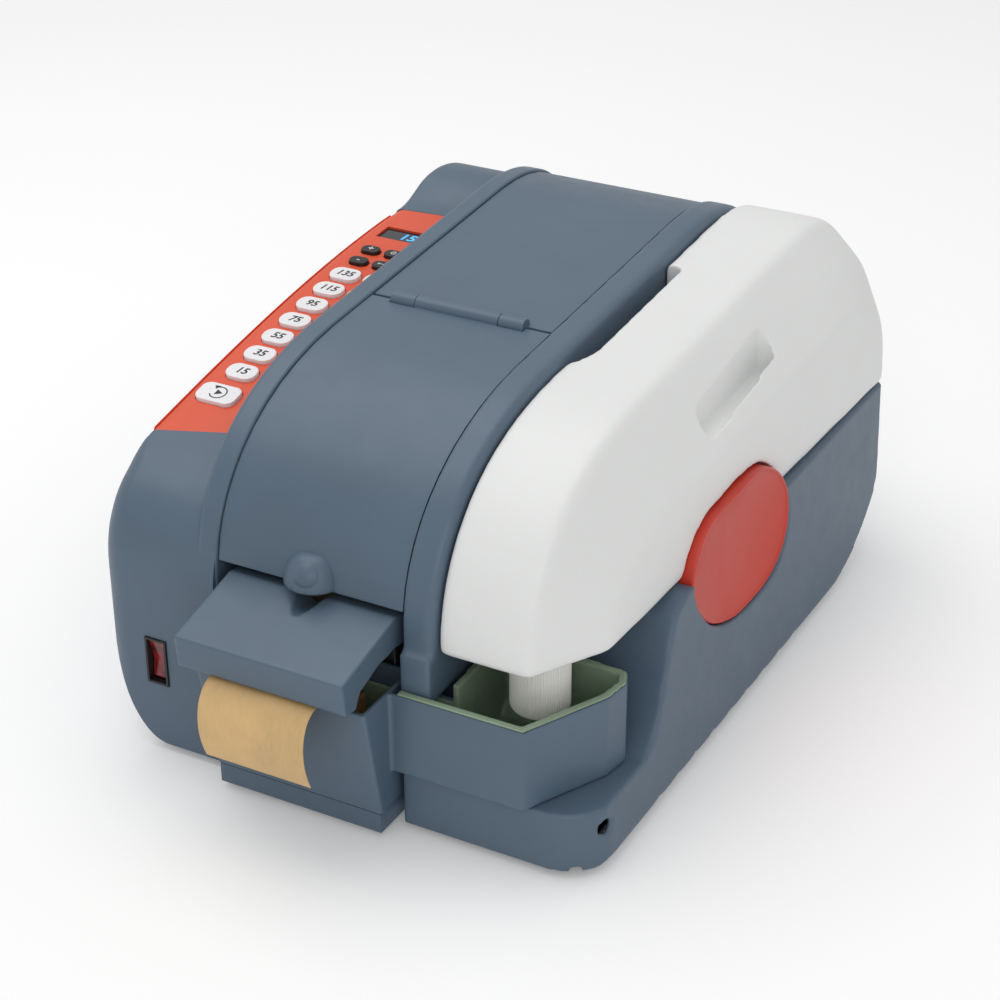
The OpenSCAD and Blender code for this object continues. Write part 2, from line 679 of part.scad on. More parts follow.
module pinch_roller() color(black) part_frame() {
    rod(tape_x[0] - 2, tape_x[1] + 2, pinch_c, pinch_r);
    rod(plate_x[0] - 1, plate_x[1] + 2.5, pinch_c, 3);
}
motor_x = [left_x + 6, -20];
module drive_motor() color(steel) part_frame() difference() {
    union() {
        rod(motor_x[0], motor_x[1], pinion_c, 22);
        rod(motor_x[1], motor_x[1] + 2, pinion_c, 8);
        box([-32, pinion_c[0] - 18, wall], [motor_x[1] - 4, pinion_c[0] + 18, pinion_c[1] - 10]);
    }
    rod(motor_x[1] - 20, motor_x[1] + 3, pinion_c, 3 + fit);
}
module motor_pinion() color(steel) part_frame() {
    along_x(gear_x[0] + 0.5, gear_x[1] - 0.5) translate(pinion_c) rotate(drive_angle + 180 - 180 / pinion_teeth)
        polygon(gear_outline(pinion_teeth));
    rod(motor_x[1] - 18, gear_x[1] - 0.5, pinion_c, 3);
}

// ---- Cutter ----
cut_travel = 7;
module cutter_blade() color(steel) part_frame() {
    along_y(cut_y - 0.6, cut_y + 0.4) polygon([
        [11, 94], [11, 116], [95, 116], [95, 97], [91, 93.5], [15, 93.5]
    ]);
    for (x = [8.2, 94]) box([x, cut_y - 3, 46], [x + 3, cut_y + 2, 116]);
    box([8.2, cut_y - 3, 42], [97, cut_y + 2, 46]);
    translate([lane_mid, cut_y - 0.5, 18]) cylinder(h = 26, r = 5);
}
module cutter_solenoid() color(dark_grey) part_frame() difference() {
    box([lane_mid - 16, cut_y - 15, wall], [lane_mid + 16, cut_y + 15, 33]);
    translate([lane_mid, cut_y - 0.5, 8]) cylinder(h = 40, r = 5 + fit);
}
module fixed_blade() color(steel) part_frame() {
    box([15, cut_y + 0.8, 70], [91, cut_y + 2.2, 88.2]);
    box([15, cut_y + 0.8, 70], [91, cut_y + 12, 71.5]);
}
// Guide plates before and behind the blade, on two side arms that carry the fixed blade
module tape_guide() color(steel) part_frame() {
    along_x(16, 90) polygon([
        [54, 62], [54, 85.5], [56, 86.9], [79.5, 88.2], [79.5, 87], [57, 85.4], [55.4, 84.6], [55.4, 62]
    ]);
    along_x(16, 90) polygon([
        [87, 89.2], [104, 90.5], [104, 62], [102.8, 62], [102.8, 89.2], [87, 88]
    ]);
    box([plate_x[0] + 1.5, 54, 62], [plate_x[1], 55.4, 74]);
    for (x = [16, 88.5]) {
        box([x, 54, 62], [x + 1.5, 104, 70]);
        box([x, 54, 62], [x + 1.5, 79.5, 86.5]);
        box([x, 96, 62], [x + 1.5, 104, 89.5]);
    }
}

// ---- Side guides for the roll ----
guide_t = 1.8;
module side_guide(x0, foot_x) {
    along_x(x0, x0 + guide_t) difference() {
        translate([240, 14]) square([120, 110]);
        translate([236, 60]) rotate(30) square([40, 120]);
        translate([300, 112]) circle(r = 18);
        translate([294.6, 0]) square([10.8, 12.3]);
    }
    difference() {
        box([foot_x, 288, 5], [foot_x + 6, 312, 22]);
        box([foot_x - 1, 294.6, 0], [foot_x + 7, 305.4, 12.3]);
    }
}
module side_guide_left() color(white) part_frame() side_guide(tape_x[0] - 0.8 - guide_t, tape_x[0] - 0.8 - 6);
module side_guide_right() color(white) part_frame() side_guide(tape_x[1] + 0.8, tape_x[1] + 0.8);

left_casing();
right_casing();
base_pan();
rubber_feet();
left_side_plate();
right_side_plate();
rear_cover();
rear_hinge_pin();
front_cover();
cover_hinge_pin();
press_hood();
press_plate();
control_panel();
display_window();
control_board();
key_start();
key_15();
key_35();
key_55();
key_75();
key_95();
key_115();
key_135();
key_25();
key_45();
key_65();
key_85();
key_105();
key_125();
key_145();
key_minus();
key_plus();
key_enter();
key_set();
switch_housing();
switch_rocker();
power_inlet();
bottle();
bottle_cap();
valve_plunger();
side_dish();
tank_housing();
water_tray();
tank_brushes();
tape_roll();
roll_core();
tape_web();
cut_strip();
feed_roller();
feed_shaft();
drive_gear();
pinch_roller();
drive_motor();
motor_pinion();
cutter_blade();
cutter_solenoid();
fixed_blade();
tape_guide();
side_guide_left();
side_guide_right();
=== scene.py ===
"""Looks of a counter machine that feeds, cuts and wets gummed tape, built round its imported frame."""

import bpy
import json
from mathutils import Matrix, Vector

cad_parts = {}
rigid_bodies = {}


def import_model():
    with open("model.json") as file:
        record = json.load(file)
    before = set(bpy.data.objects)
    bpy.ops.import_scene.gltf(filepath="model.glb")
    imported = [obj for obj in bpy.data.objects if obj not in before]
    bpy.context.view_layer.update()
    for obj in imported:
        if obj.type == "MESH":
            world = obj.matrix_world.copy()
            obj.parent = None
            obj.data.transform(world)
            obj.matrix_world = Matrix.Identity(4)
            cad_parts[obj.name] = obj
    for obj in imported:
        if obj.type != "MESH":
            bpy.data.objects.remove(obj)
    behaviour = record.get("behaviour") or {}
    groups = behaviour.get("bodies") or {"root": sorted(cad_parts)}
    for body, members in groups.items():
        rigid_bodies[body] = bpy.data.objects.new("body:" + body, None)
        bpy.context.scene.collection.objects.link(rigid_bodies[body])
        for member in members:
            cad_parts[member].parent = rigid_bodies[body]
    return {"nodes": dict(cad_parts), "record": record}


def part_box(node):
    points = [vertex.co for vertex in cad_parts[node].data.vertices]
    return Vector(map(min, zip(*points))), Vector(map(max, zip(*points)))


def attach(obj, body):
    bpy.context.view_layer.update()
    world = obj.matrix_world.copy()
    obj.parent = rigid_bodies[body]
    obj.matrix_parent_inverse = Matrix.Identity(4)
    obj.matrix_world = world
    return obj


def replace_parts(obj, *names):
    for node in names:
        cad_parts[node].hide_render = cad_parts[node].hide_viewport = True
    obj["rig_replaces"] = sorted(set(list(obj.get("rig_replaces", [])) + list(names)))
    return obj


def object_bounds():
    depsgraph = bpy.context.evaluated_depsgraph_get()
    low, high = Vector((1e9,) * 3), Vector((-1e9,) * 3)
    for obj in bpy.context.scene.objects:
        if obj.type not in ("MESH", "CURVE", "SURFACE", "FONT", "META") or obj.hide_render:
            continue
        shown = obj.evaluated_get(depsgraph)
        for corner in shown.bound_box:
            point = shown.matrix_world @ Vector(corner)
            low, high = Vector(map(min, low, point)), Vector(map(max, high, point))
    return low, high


bl_info = {
    "name": "Gummed Tape Dispenser",
    "version": (1, 0, 0),
    "blender": (4, 5, 0),
    "location": "View3D > Sidebar > Dispenser",
    "description": "Dresses a tape dispenser's frame with mouldings, keys, water bottle and studio",
    "category": "Add Mesh",
}

import json
import math

import bmesh
import bpy
from mathutils import Matrix, Vector

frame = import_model()
cad_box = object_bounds()
nodes = frame["nodes"]
body_of_node = {n: b for b, members in frame["record"]["behaviour"]["bodies"].items() for n in members}

MM = 0.001
# Lane coordinates: x from the left groove of the tape lane, y to the rear, z from the underside of the base
BODY_REAR = 427 * MM
casing_low, casing_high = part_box("left_casing")
lane_origin = Vector((casing_high.x, casing_high.y - BODY_REAR, casing_low.z))


def at(x, y, z):
    """A point of the lane frame, in millimetres, as a place in the scene."""
    return lane_origin + Vector((x, y, z)) * MM


def lane(point):
    """A place in the scene as lane coordinates in millimetres."""
    return (point - lane_origin) / MM


def tint(r, g, b):
    """A display colour, 0 to 255 a channel, as a linear one."""
    return tuple(((c / 255 + 0.055) / 1.055) ** 2.4 if c > 10 else c / 3295 for c in (r, g, b))


# ---- Sizes and colours that a user may change ----


def colour(name, description, default):
    return bpy.props.FloatVectorProperty(
        name=name, description=description, subtype="COLOR", size=3, min=0, max=1, default=default
    )


def length(name, description, default):
    return bpy.props.FloatProperty(
        name=name, description=description, subtype="DISTANCE", unit="LENGTH", min=0, default=default
    )


def number(name, description, least, default):
    return bpy.props.IntProperty(name=name, description=description, min=least, default=default)


class DispenserColours(bpy.types.PropertyGroup):
    """Colours of the mouldings and the tape"""

    body: colour("Body", "Blue-grey mouldings", tint(86, 104, 121))
    panel: colour("Panel", "Orange key panel", tint(226, 84, 48))
    key: colour("Keys", "Number keys", tint(243, 241, 243))
    bottle: colour("Bottle", "Water bottle", tint(234, 235, 234))
    dish: colour("Dish", "Red side dish", tint(204, 60, 42))
    tray: colour("Tray", "Water tray", tint(140, 160, 136))
    tape: colour("Tape", "Kraft face of the tape", tint(214, 178, 124))
    digits: colour("Digits", "Lit digits in the display", tint(70, 170, 250))


class DispenserSizes(bpy.types.PropertyGroup):
    """Roundings and small details of the mouldings"""

    ridge_round: length("Ridge rounding", "Radius of the ridges' outer edges", 4.2 * MM)
    column_round: length("Column rounding", "Radius of the control column's top edge", 6.0 * MM)
    column_front: length("Column nose", "Radius of the control column's edge at its nose", 16.0 * MM)
    cover_round: length("Cover rounding", "Radius of the covers' outer edges", 1.0 * MM)
    hood_grain: length("Hood grain", "Voxel size that the press hood is blended at", 0.8 * MM)
    casing_grain: length("Casing grain", "Voxel size that the right casing is blended at", 1.4 * MM)
    bottle_grain: length("Bottle grain", "Voxel size that the bottle is blended at", 1.0 * MM)
    cap_ribs: number("Cap ribs", "Grip ribs round the cap", 12, 72)
    bristle_rows: number("Bristle rows", "Tufts across a brush", 2, 6)


def colours():
    return bpy.context.scene.dispenser_colours


def sizes():
    return bpy.context.scene.dispenser_sizes


# ---- Materials ----


class Finish:
    """A material under construction: its node tree and its shader."""

    def __init__(self, name):
        self.material = bpy.data.materials.new(name)
        self.material.use_nodes = True
        self.tree = self.material.node_tree
        self.shader = self.tree.nodes["Principled BSDF"]
        self.place = self.tree.nodes.new("ShaderNodeTexCoord").outputs["Object"]

    def node(self, kind, **values):
        made = self.tree.nodes.new("ShaderNode" + kind)
        for key, value in values.items():
            if key in made.inputs:
                made.inputs[key].default_value = value
            else:
                setattr(made, key, value)
        return made

    def link(self, output, socket):
        self.tree.links.new(output, socket)
        return output

    def mapping(self, scale):
        mapping = self.node("Mapping", Scale=scale)
        self.link(self.place, mapping.inputs["Vector"])
        return mapping.outputs[0]

    def noise(self, scale, detail=3.0, rough=0.55, place=None):
        noise = self.node("TexNoise", Scale=scale, Detail=detail, Roughness=rough)
        self.link(place or self.place, noise.inputs["Vector"])
        return noise.outputs["Fac"]

    def spread(self, value, low, high, start=0.3, end=0.7):
        """Maps a pattern from start..end to low..high."""
        ramp = self.node("MapRange", **{"From Min": start, "From Max": end, "To Min": low, "To Max": high})
        self.link(value, ramp.inputs["Value"])
        return ramp.outputs["Result"]

    def blend(self, value, first, second):
        mix = self.node("Mix", data_type="RGBA")
        for key, shade in (("A", first), ("B", second)):
            socket = [s for s in mix.inputs if s.name == key and s.type == "RGBA"][0]
            if hasattr(shade, "node"):
                self.link(shade, socket)
            else:
                socket.default_value = (*shade, 1)
        self.link(value, mix.inputs[0])
        return [s for s in mix.outputs if s.type == "RGBA"][0]

    def bump(self, height, strength, distance):
        bump = self.node("Bump", Strength=strength, Distance=distance)
        self.link(height, bump.inputs["Height"])
        if self.shader.inputs["Normal"].is_linked:
            self.link(self.shader.inputs["Normal"].links[0].from_socket, bump.inputs["Normal"])
        self.link(bump.outputs[0], self.shader.inputs["Normal"])

    def paint(self, shade):
        if hasattr(shade, "node"):
            self.link(shade, self.shader.inputs["Base Color"])
        else:
            self.shader.inputs["Base Color"].default_value = (*shade, 1)

    def set(self, **sockets):
        for key, value in sockets.items():
            self.shader.inputs[key.replace("_", " ")].default_value = value


def shade(base, factor):
    return tuple(min(1, c * factor) for c in base)


materials = {}


def finish(name):
    """The material of that name, made the first time that it is asked for."""
    if name not in materials:
        materials[name] = FINISHES[name]()
    return materials[name]


def moulded(name, base, rough=0.42, vary=0.05, grain=0.12, cloud=0.05):
    """Injection-moulded plastic: a fine spark-eroded grain, faint flow clouds and handling marks."""
    f = Finish(name)
    clouds = f.spread(f.noise(14, 4), 0, 1)
    f.paint(f.blend(clouds, shade(base, 1 - cloud), shade(base, 1 + cloud)))
    marks = f.noise(60, 5, 0.7)
    f.link(f.spread(marks, rough - vary, rough + vary), f.shader.inputs["Roughness"])
    f.bump(f.noise(2600, 2, 0.6), grain, 0.04 * MM)
    f.set(IOR=1.49)
    return f.material


def bottle_moulding():
    """Blow-moulded polyethylene, a little translucent."""
    f = Finish("bottle_moulding")
    base = colours().bottle
    f.paint(f.blend(f.spread(f.noise(9, 3), 0, 1), shade(base, 0.985), shade(base, 1.01)))
    f.link(f.spread(f.noise(40, 4), 0.36, 0.46), f.shader.inputs["Roughness"])
    f.bump(f.noise(260, 3), 0.05, 0.15 * MM)
    f.set(Subsurface_Weight=0.12, Subsurface_Scale=4 * MM, IOR=1.5)
    return f.material


def tray_moulding():
    """Pale green polypropylene with a dull water line."""
    f = Finish("tray_moulding")
    base = colours().tray
    f.paint(f.blend(f.spread(f.noise(22, 5), 0, 1), shade(base, 0.85), shade(base, 1.1)))
    f.link(f.spread(f.noise(55, 4), 0.25, 0.45), f.shader.inputs["Roughness"])
    f.bump(f.noise(300, 3), 0.05, 0.2 * MM)
    f.set(Subsurface_Weight=0.15, Subsurface_Scale=2 * MM)
    return f.material


def display_glass():
    f = Finish("display_glass")
    f.paint(f.blend(f.spread(f.noise(90, 2), 0, 1), tint(18, 26, 38), tint(26, 38, 54)))
    f.set(Roughness=0.12, IOR=1.5, Coat_Weight=0.4)
    return f.material


def lit_digits():
    f = Finish("lit_digits")
    base = colours().digits
    f.paint(f.blend(f.noise(400, 1), shade(base, 0.8), base))
    f.set(Emission_Color=(*base, 1), Emission_Strength=0.9, Roughness=0.4)
    return f.material


def printed_ink(name, base):
    f = Finish(name)
    f.paint(f.blend(f.noise(900, 2), shade(base, 0.85), shade(base, 1.1)))
    f.set(Roughness=0.5)
    return f.material


def circuit_board():
    """Solder-masked board with a faint trace pattern."""
    f = Finish("circuit_board")
    tracks = f.node("TexBrick", Scale=120.0, Color1=(*tint(20, 80, 50), 1), Color2=(*tint(28, 96, 60), 1))
    tracks.inputs["Mortar"].default_value = (*tint(52, 120, 80), 1)
    f.link(f.place, tracks.inputs["Vector"])
    f.paint(tracks.outputs["Color"])
    f.set(Roughness=0.35)
    return f.material


def kraft_face():
    """Unbleached kraft: fibres along the tape, blotches and a few darker flecks."""
    f = Finish("kraft_face")
    base = colours().tape
    fibres = f.noise(1.0, 5, 0.6, f.mapping((900, 160, 160)))
    blotches = f.noise(38, 6, 0.62)
    flecks = f.noise(1.0, 4, 0.7, f.mapping((150, 60, 70)))
    plain = f.blend(f.spread(blotches, 0, 1, 0.35, 0.7), shade(base, 0.88), shade(base, 1.07))
    threaded = f.blend(f.spread(fibres, 0, 0.5, 0.35, 0.75), plain, shade(base, 1.16))
    f.paint(f.blend(f.spread(flecks, 0, 0.55, 0.64, 0.74), threaded, shade(base, 0.60)))
    f.link(f.spread(blotches, 0.42, 0.62), f.shader.inputs["Roughness"])
    f.bump(fibres, 0.25, 0.05 * MM)
    f.bump(blotches, 0.20, 0.30 * MM)
    return f.material


def roll_edge():
    """The side of a wound roll: one fine line for every few turns of paper."""
    f = Finish("roll_edge")
    low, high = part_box("tape_roll")
    middle = (low + high) / 2
    centred = f.node("Mapping", Location=-middle)
    f.link(f.place, centred.inputs["Vector"])
    rings = f.node("TexWave", wave_type="RINGS", rings_direction="X", Scale=420.0, Distortion=0.6, Detail=2.0)
    f.link(centred.outputs[0], rings.inputs["Vector"])
    base = colours().tape
    lined = f.blend(f.spread(rings.outputs["Fac"], 0, 1, 0.2, 0.8), shade(base, 0.8), shade(base, 1.08))
    f.paint(f.blend(f.spread(f.noise(30, 4), 0, 0.4), lined, shade(base, 0.9)))
    f.bump(rings.outputs["Fac"], 0.3, 0.1 * MM)
    f.set(Roughness=0.75)
    return f.material


def wound_card():
    f = Finish("wound_card")
    base = tint(152, 120, 84)
    f.paint(f.blend(f.spread(f.noise(120, 5, 0.7), 0, 1), shade(base, 0.8), shade(base, 1.1)))
    f.bump(f.noise(600, 3), 0.3, 0.1 * MM)
    f.set(Roughness=0.8)
    return f.material


def steel(name, base, rough, grain):
    """Metal with a brushed grain along one direction."""
    f = Finish(name)
    brushed = f.noise(1.0, 4, 0.6, f.mapping(grain))
    f.paint(f.blend(f.spread(brushed, 0, 1), shade(base, 0.86), shade(base, 1.08)))
    f.link(f.spread(brushed, rough - 0.08, rough + 0.1), f.shader.inputs["Roughness"])
    f.bump(brushed, 0.12, 0.03 * MM)
    f.set(Metallic=1.0)
    return f.material


def brush_wood():
    """Planed beech with long growth lines."""
    f = Finish("brush_wood")
    rings = f.noise(1.0, 5, 0.6, f.mapping((25, 260, 260)))
    f.paint(f.blend(f.spread(rings, 0, 1), tint(158, 118, 74), tint(196, 158, 108)))
    f.bump(rings, 0.2, 0.1 * MM)
    f.set(Roughness=0.6)
    return f.material


def bristle_finish():
    f = Finish("bristle_finish")
    f.paint(f.blend(f.noise(700, 2), tint(66, 54, 40), tint(120, 98, 70)))
    f.set(Roughness=0.55)
    return f.material


def rocker_moulding():
    """Dark red translucent rocker with a lamp behind it."""
    f = Finish("rocker_moulding")
    glow = f.noise(160, 2)
    f.paint(f.blend(f.spread(glow, 0, 1), tint(70, 10, 14), tint(150, 24, 30)))
    f.set(Roughness=0.2, Coat_Weight=0.5)
    return f.material


def recipe(make, name, tone, *more, **look):
    """A call to be made later. The tone is a colour, or the name of one that a user may change."""
    return lambda: make(name, getattr(colours(), tone) if isinstance(tone, str) else tone, *more, **look)


BLACK = recipe(moulded, "black_moulding", tint(32, 32, 36), rough=0.35, grain=0.08)
RUBBER = recipe(moulded, "rubber_finish", tint(34, 34, 36), rough=0.75, vary=0.08, grain=0.35, cloud=0.15)
FINISHES = {
    "body_grey": recipe(moulded, "body_moulding", "body", rough=0.40, grain=0.10),
    "panel_orange": recipe(moulded, "panel_moulding", "panel", rough=0.38, grain=0.08, cloud=0.03),
    "key_white": recipe(moulded, "key_moulding", "key", rough=0.28, grain=0.03, cloud=0.015),
    "key_black": BLACK,
    "display_glass": display_glass,
    "board_green": circuit_board,
    "bottle_white": bottle_moulding,
    "cap_white": recipe(moulded, "cap_moulding", tint(232, 232, 226), rough=0.38, grain=0.05, cloud=0.02),
    "valve_grey": BLACK,
    "dish_red": recipe(moulded, "dish_moulding", "dish", rough=0.36, vary=0.02, grain=0.02, cloud=0.03),
    "tray_green": tray_moulding,
    "brush_wood": brush_wood,
    "bristles": bristle_finish,
    "tape_kraft": kraft_face,
    "roll_edge": roll_edge,
    "core_card": wound_card,
    "steel_sheet": recipe(steel, "plated_sheet", (0.55, 0.56, 0.58), 0.38, (60, 60, 1500)),
    "steel_ground": recipe(steel, "ground_steel", (0.66, 0.67, 0.69), 0.24, (80, 1600, 1600)),
    "gear_nylon": recipe(moulded, "nylon_moulding", tint(228, 224, 208), rough=0.45, grain=0.05),
    "roller_rubber": RUBBER,
    "foot_rubber": RUBBER,
    "switch_black": BLACK,
    "rocker_red": rocker_moulding,
    "lit_digits": lit_digits,
    "black_ink": recipe(printed_ink, "black_ink", tint(30, 30, 34)),
    "white_ink": recipe(printed_ink, "white_ink", tint(214, 214, 214)),
}
slot_of_node = {s["node"]: s["material_slot"] for s in frame["record"]["subparts"]}


# ---- Mesh work ----


def sound_copy(node):
    """A CAD node's mesh with its loose triangles merged and its flat faces whole."""
    bm = bmesh.new()
    bm.from_mesh(nodes[node].data)
    bmesh.ops.remove_doubles(bm, verts=bm.verts, dist=0.002 * MM)
    bmesh.ops.dissolve_limit(bm, angle_limit=math.radians(0.5), verts=bm.verts, edges=bm.edges)
    return bm


def outer_edges(bm, test, sharp):
    """Convex edges that turn by more than an angle in degrees, where test(edge) agrees."""
    chosen = []
    for edge in bm.edges:
        if len(edge.link_faces) == 2 and edge.is_convex and edge.calc_face_angle(0) > math.radians(sharp):
            if test(edge):
                chosen.append(edge)
    return chosen


def round_edges(bm, radius, test, sharp, segments, clamp):
    bmesh.ops.bevel(
        bm,
        geom=outer_edges(bm, test, sharp),
        offset=radius,
        offset_type="OFFSET",
        segments=segments,
        profile=0.5,
        affect="EDGES",
        clamp_overlap=clamp,
        loop_slide=True,
    )


def anywhere(edge):
    return True


def on_left_flank(edge):
    """Whether an edge lies in the control column's left face."""
    return all(abs(lane(v.co).x - COLUMN_LEFT) < 0.2 for v in edge.verts)


def as_mesh(bm, name="made"):
    mesh = bpy.data.meshes.new(name)
    bm.to_mesh(mesh)
    bm.free()
    return mesh


def finish_piece(name, mesh, material, body, smooth=32):
    """Puts a mesh into the scene as a finished piece that rides on a body."""
    mesh.name = name
    piece = bpy.data.objects.new(name, mesh)
    bpy.context.scene.collection.objects.link(piece)
    mesh.materials.clear()
    mesh.materials.append(material)
    mesh.shade_smooth()
    mesh.set_sharp_from_angle(angle=math.radians(smooth))
    even = piece.modifiers.new("even_shading", "WEIGHTED_NORMAL")
    even.keep_sharp = True
    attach(piece, body)
    return piece


def dress(node, radius=0.0, rounds=(), material=None, smooth=32):
    """Stands a rounded copy in for a CAD node. rounds holds (radius, test) pairs for its main edges."""
    bm = sound_copy(node)
    for size, test in rounds:
        round_edges(bm, size, test, sharp=28, segments=4, clamp=False)
    if radius:
        round_edges(bm, radius, anywhere, sharp=35, segments=2, clamp=True)
    slot = slot_of_node[node]
    mesh = as_mesh(bm)
    piece = finish_piece("dressed_" + node, mesh, material or finish(slot), body_of_node[node], smooth)
    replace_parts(piece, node)


def baked(piece):
    """The piece's mesh with its modifiers applied."""
    bpy.context.view_layer.update()
    graph = bpy.context.evaluated_depsgraph_get()
    return bpy.data.meshes.new_from_object(piece.evaluated_get(graph), depsgraph=graph)


def scratch_object(mesh):
    made = bpy.data.objects.new("scratch", mesh)
    bpy.context.scene.collection.objects.link(made)
    return made


# ---- Geometry Nodes for what repeats ----


def new_tree(name, inputs):
    """A node group with a mesh in, a mesh out, a material and named inputs, each (name, kind, value)."""
    tree = bpy.data.node_groups.new(name, "GeometryNodeTree")
    tree.interface.new_socket("Geometry", in_out="INPUT", socket_type="NodeSocketGeometry")
    tree.interface.new_socket("Geometry", in_out="OUTPUT", socket_type="NodeSocketGeometry")
    for label, kind, value in inputs:
        socket = tree.interface.new_socket(label, in_out="INPUT", socket_type="NodeSocket" + kind)
        socket.default_value = value
    tree.interface.new_socket("Material", in_out="INPUT", socket_type="NodeSocketMaterial")
    return tree, tree.nodes.new("NodeGroupInput"), tree.nodes.new("NodeGroupOutput")


def geo(tree, kind, **values):
    made = tree.nodes.new(kind)
    for key, value in values.items():
        if key in made.inputs:
            made.inputs[key].default_value = value
        else:
            setattr(made, key, value)
    return made


def grow(name, tree, settings, material, base=None):
    """Runs a node group on a base mesh and returns the plain mesh that it makes."""
    seed = scratch_object(base or bpy.data.meshes.new("seed"))
    modifier = seed.modifiers.new("grow", "NODES")
    modifier.node_group = tree
    for item in tree.interface.items_tree:
        if item.in_out == "INPUT" and item.name in settings:
            modifier[item.identifier] = settings[item.name]
        if item.in_out == "INPUT" and item.name == "Material":
            modifier[item.identifier] = material
    mesh = baked(seed)
    seed.modifiers.clear()
    bpy.data.objects.remove(seed)
    mesh.name = name
    return mesh


def finish_tree(tree, source, group_in, group_out):
    """Ends a tree in Realize Instances and Set Material."""
    link = tree.links.new
    realize = geo(tree, "GeometryNodeRealizeInstances")
    paint = geo(tree, "GeometryNodeSetMaterial")
    link(source, realize.inputs["Geometry"])
    link(realize.outputs[0], paint.inputs["Geometry"])
    link(group_in.outputs["Material"], paint.inputs["Material"])
    link(paint.outputs[0], group_out.inputs["Geometry"])


def rib_ring_tree():
    """Upright ribs round a cap."""
    inputs = [
        ("Count", "Int", 72),
        ("Radius", "Float", 0.015),
        ("Rib radius", "Float", 0.0004),
        ("Height", "Float", 0.02),
        ("Centre", "Vector", (0, 0, 0)),
    ]
    tree, group_in, group_out = new_tree("rib_ring", inputs)
    link = tree.links.new
    ring = geo(tree, "GeometryNodeMeshCircle")
    link(group_in.outputs["Count"], ring.inputs["Vertices"])
    link(group_in.outputs["Radius"], ring.inputs["Radius"])
    rib = geo(tree, "GeometryNodeMeshCylinder", Vertices=8)
    link(group_in.outputs["Rib radius"], rib.inputs["Radius"])
    link(group_in.outputs["Height"], rib.inputs["Depth"])
    place = geo(tree, "GeometryNodeInstanceOnPoints")
    link(ring.outputs["Mesh"], place.inputs["Points"])
    link(rib.outputs["Mesh"], place.inputs["Instance"])
    move = geo(tree, "GeometryNodeTransform")
    link(place.outputs["Instances"], move.inputs["Geometry"])
    link(group_in.outputs["Centre"], move.inputs["Translation"])
    finish_tree(tree, move.outputs[0], group_in, group_out)
    return tree


def bristle_tree():
    """Tufts that stand on a brush block, a little splayed and of uneven height."""
    inputs = [
        ("Length", "Float", 0.05),
        ("Width", "Float", 0.007),
        ("Height", "Float", 0.02),
        ("Columns", "Int", 44),
        ("Rows", "Int", 6),
        ("Thickness", "Float", 0.0005),
        ("Splay", "Float", 0.05),
        ("Corner", "Vector", (0, 0, 0)),
        ("Seed", "Int", 4),
    ]
    tree, group_in, group_out = new_tree("bristles", inputs)
    link = tree.links.new
    grid = geo(tree, "GeometryNodeMeshGrid")
    sockets = {"Length": "Size X", "Width": "Size Y", "Columns": "Vertices X", "Rows": "Vertices Y"}
    for source, socket in sockets.items():
        link(group_in.outputs[source], grid.inputs[socket])
    hair = geo(tree, "GeometryNodeMeshCone", Vertices=5)
    link(group_in.outputs["Thickness"], hair.inputs["Radius Bottom"])
    hair.inputs["Radius Top"].default_value = 0.0002
    link(group_in.outputs["Height"], hair.inputs["Depth"])
    lean = geo(tree, "FunctionNodeRandomValue", data_type="FLOAT_VECTOR")
    negative = geo(tree, "ShaderNodeMath", operation="MULTIPLY")
    negative.inputs[1].default_value = -1
    link(group_in.outputs["Splay"], negative.inputs[0])
    link(negative.outputs[0], lean.inputs["Min"])
    link(group_in.outputs["Splay"], lean.inputs["Max"])
    link(group_in.outputs["Seed"], lean.inputs["Seed"])
    tall = geo(tree, "FunctionNodeRandomValue", data_type="FLOAT")
    tall.inputs[2].default_value = 0.93
    tall.inputs[3].default_value = 1.0
    link(group_in.outputs["Seed"], tall.inputs["Seed"])
    stretch = geo(tree, "ShaderNodeCombineXYZ", X=1.0, Y=1.0)
    link(tall.outputs[1], stretch.inputs["Z"])
    place = geo(tree, "GeometryNodeInstanceOnPoints")
    link(grid.outputs["Mesh"], place.inputs["Points"])
    link(hair.outputs["Mesh"], place.inputs["Instance"])
    link(lean.outputs["Value"], place.inputs["Rotation"])
    link(stretch.outputs[0], place.inputs["Scale"])
    move = geo(tree, "GeometryNodeTransform")
    link(place.outputs["Instances"], move.inputs["Geometry"])
    link(group_in.outputs["Corner"], move.inputs["Translation"])
    finish_tree(tree, move.outputs[0], group_in, group_out)
    return tree


def screw_tree():
    """Round screw heads with a slot, one on each point, turned to face a side."""
    inputs = [
        ("Head radius", "Float", 0.003),
        ("Head height", "Float", 0.0018),
        ("Facing", "Vector", (0, 0, 0)),
    ]
    tree, group_in, group_out = new_tree("screws", inputs)
    link = tree.links.new
    head = geo(tree, "GeometryNodeMeshCylinder", Vertices=24)
    link(group_in.outputs["Head radius"], head.inputs["Radius"])
    link(group_in.outputs["Head height"], head.inputs["Depth"])
    cross = []
    for size in ((0.0008, 0.0038, 0.0012), (0.0038, 0.0008, 0.0012)):
        arm = geo(tree, "GeometryNodeMeshCube", Size=size)
        raised = geo(tree, "GeometryNodeTransform", Translation=(0, 0, 0.0008))
        link(arm.outputs["Mesh"], raised.inputs["Geometry"])
        cross.append(raised)
    cut = geo(tree, "GeometryNodeMeshBoolean", operation="DIFFERENCE")
    link(head.outputs["Mesh"], cut.inputs["Mesh 1"])
    for arm in cross:
        link(arm.outputs[0], cut.inputs["Mesh 2"])
    place = geo(tree, "GeometryNodeInstanceOnPoints")
    link(group_in.outputs["Geometry"], place.inputs["Points"])
    link(cut.outputs[0], place.inputs["Instance"])
    link(group_in.outputs["Facing"], place.inputs["Rotation"])
    finish_tree(tree, place.outputs["Instances"], group_in, group_out)
    return tree


# ---- Printed marks ----


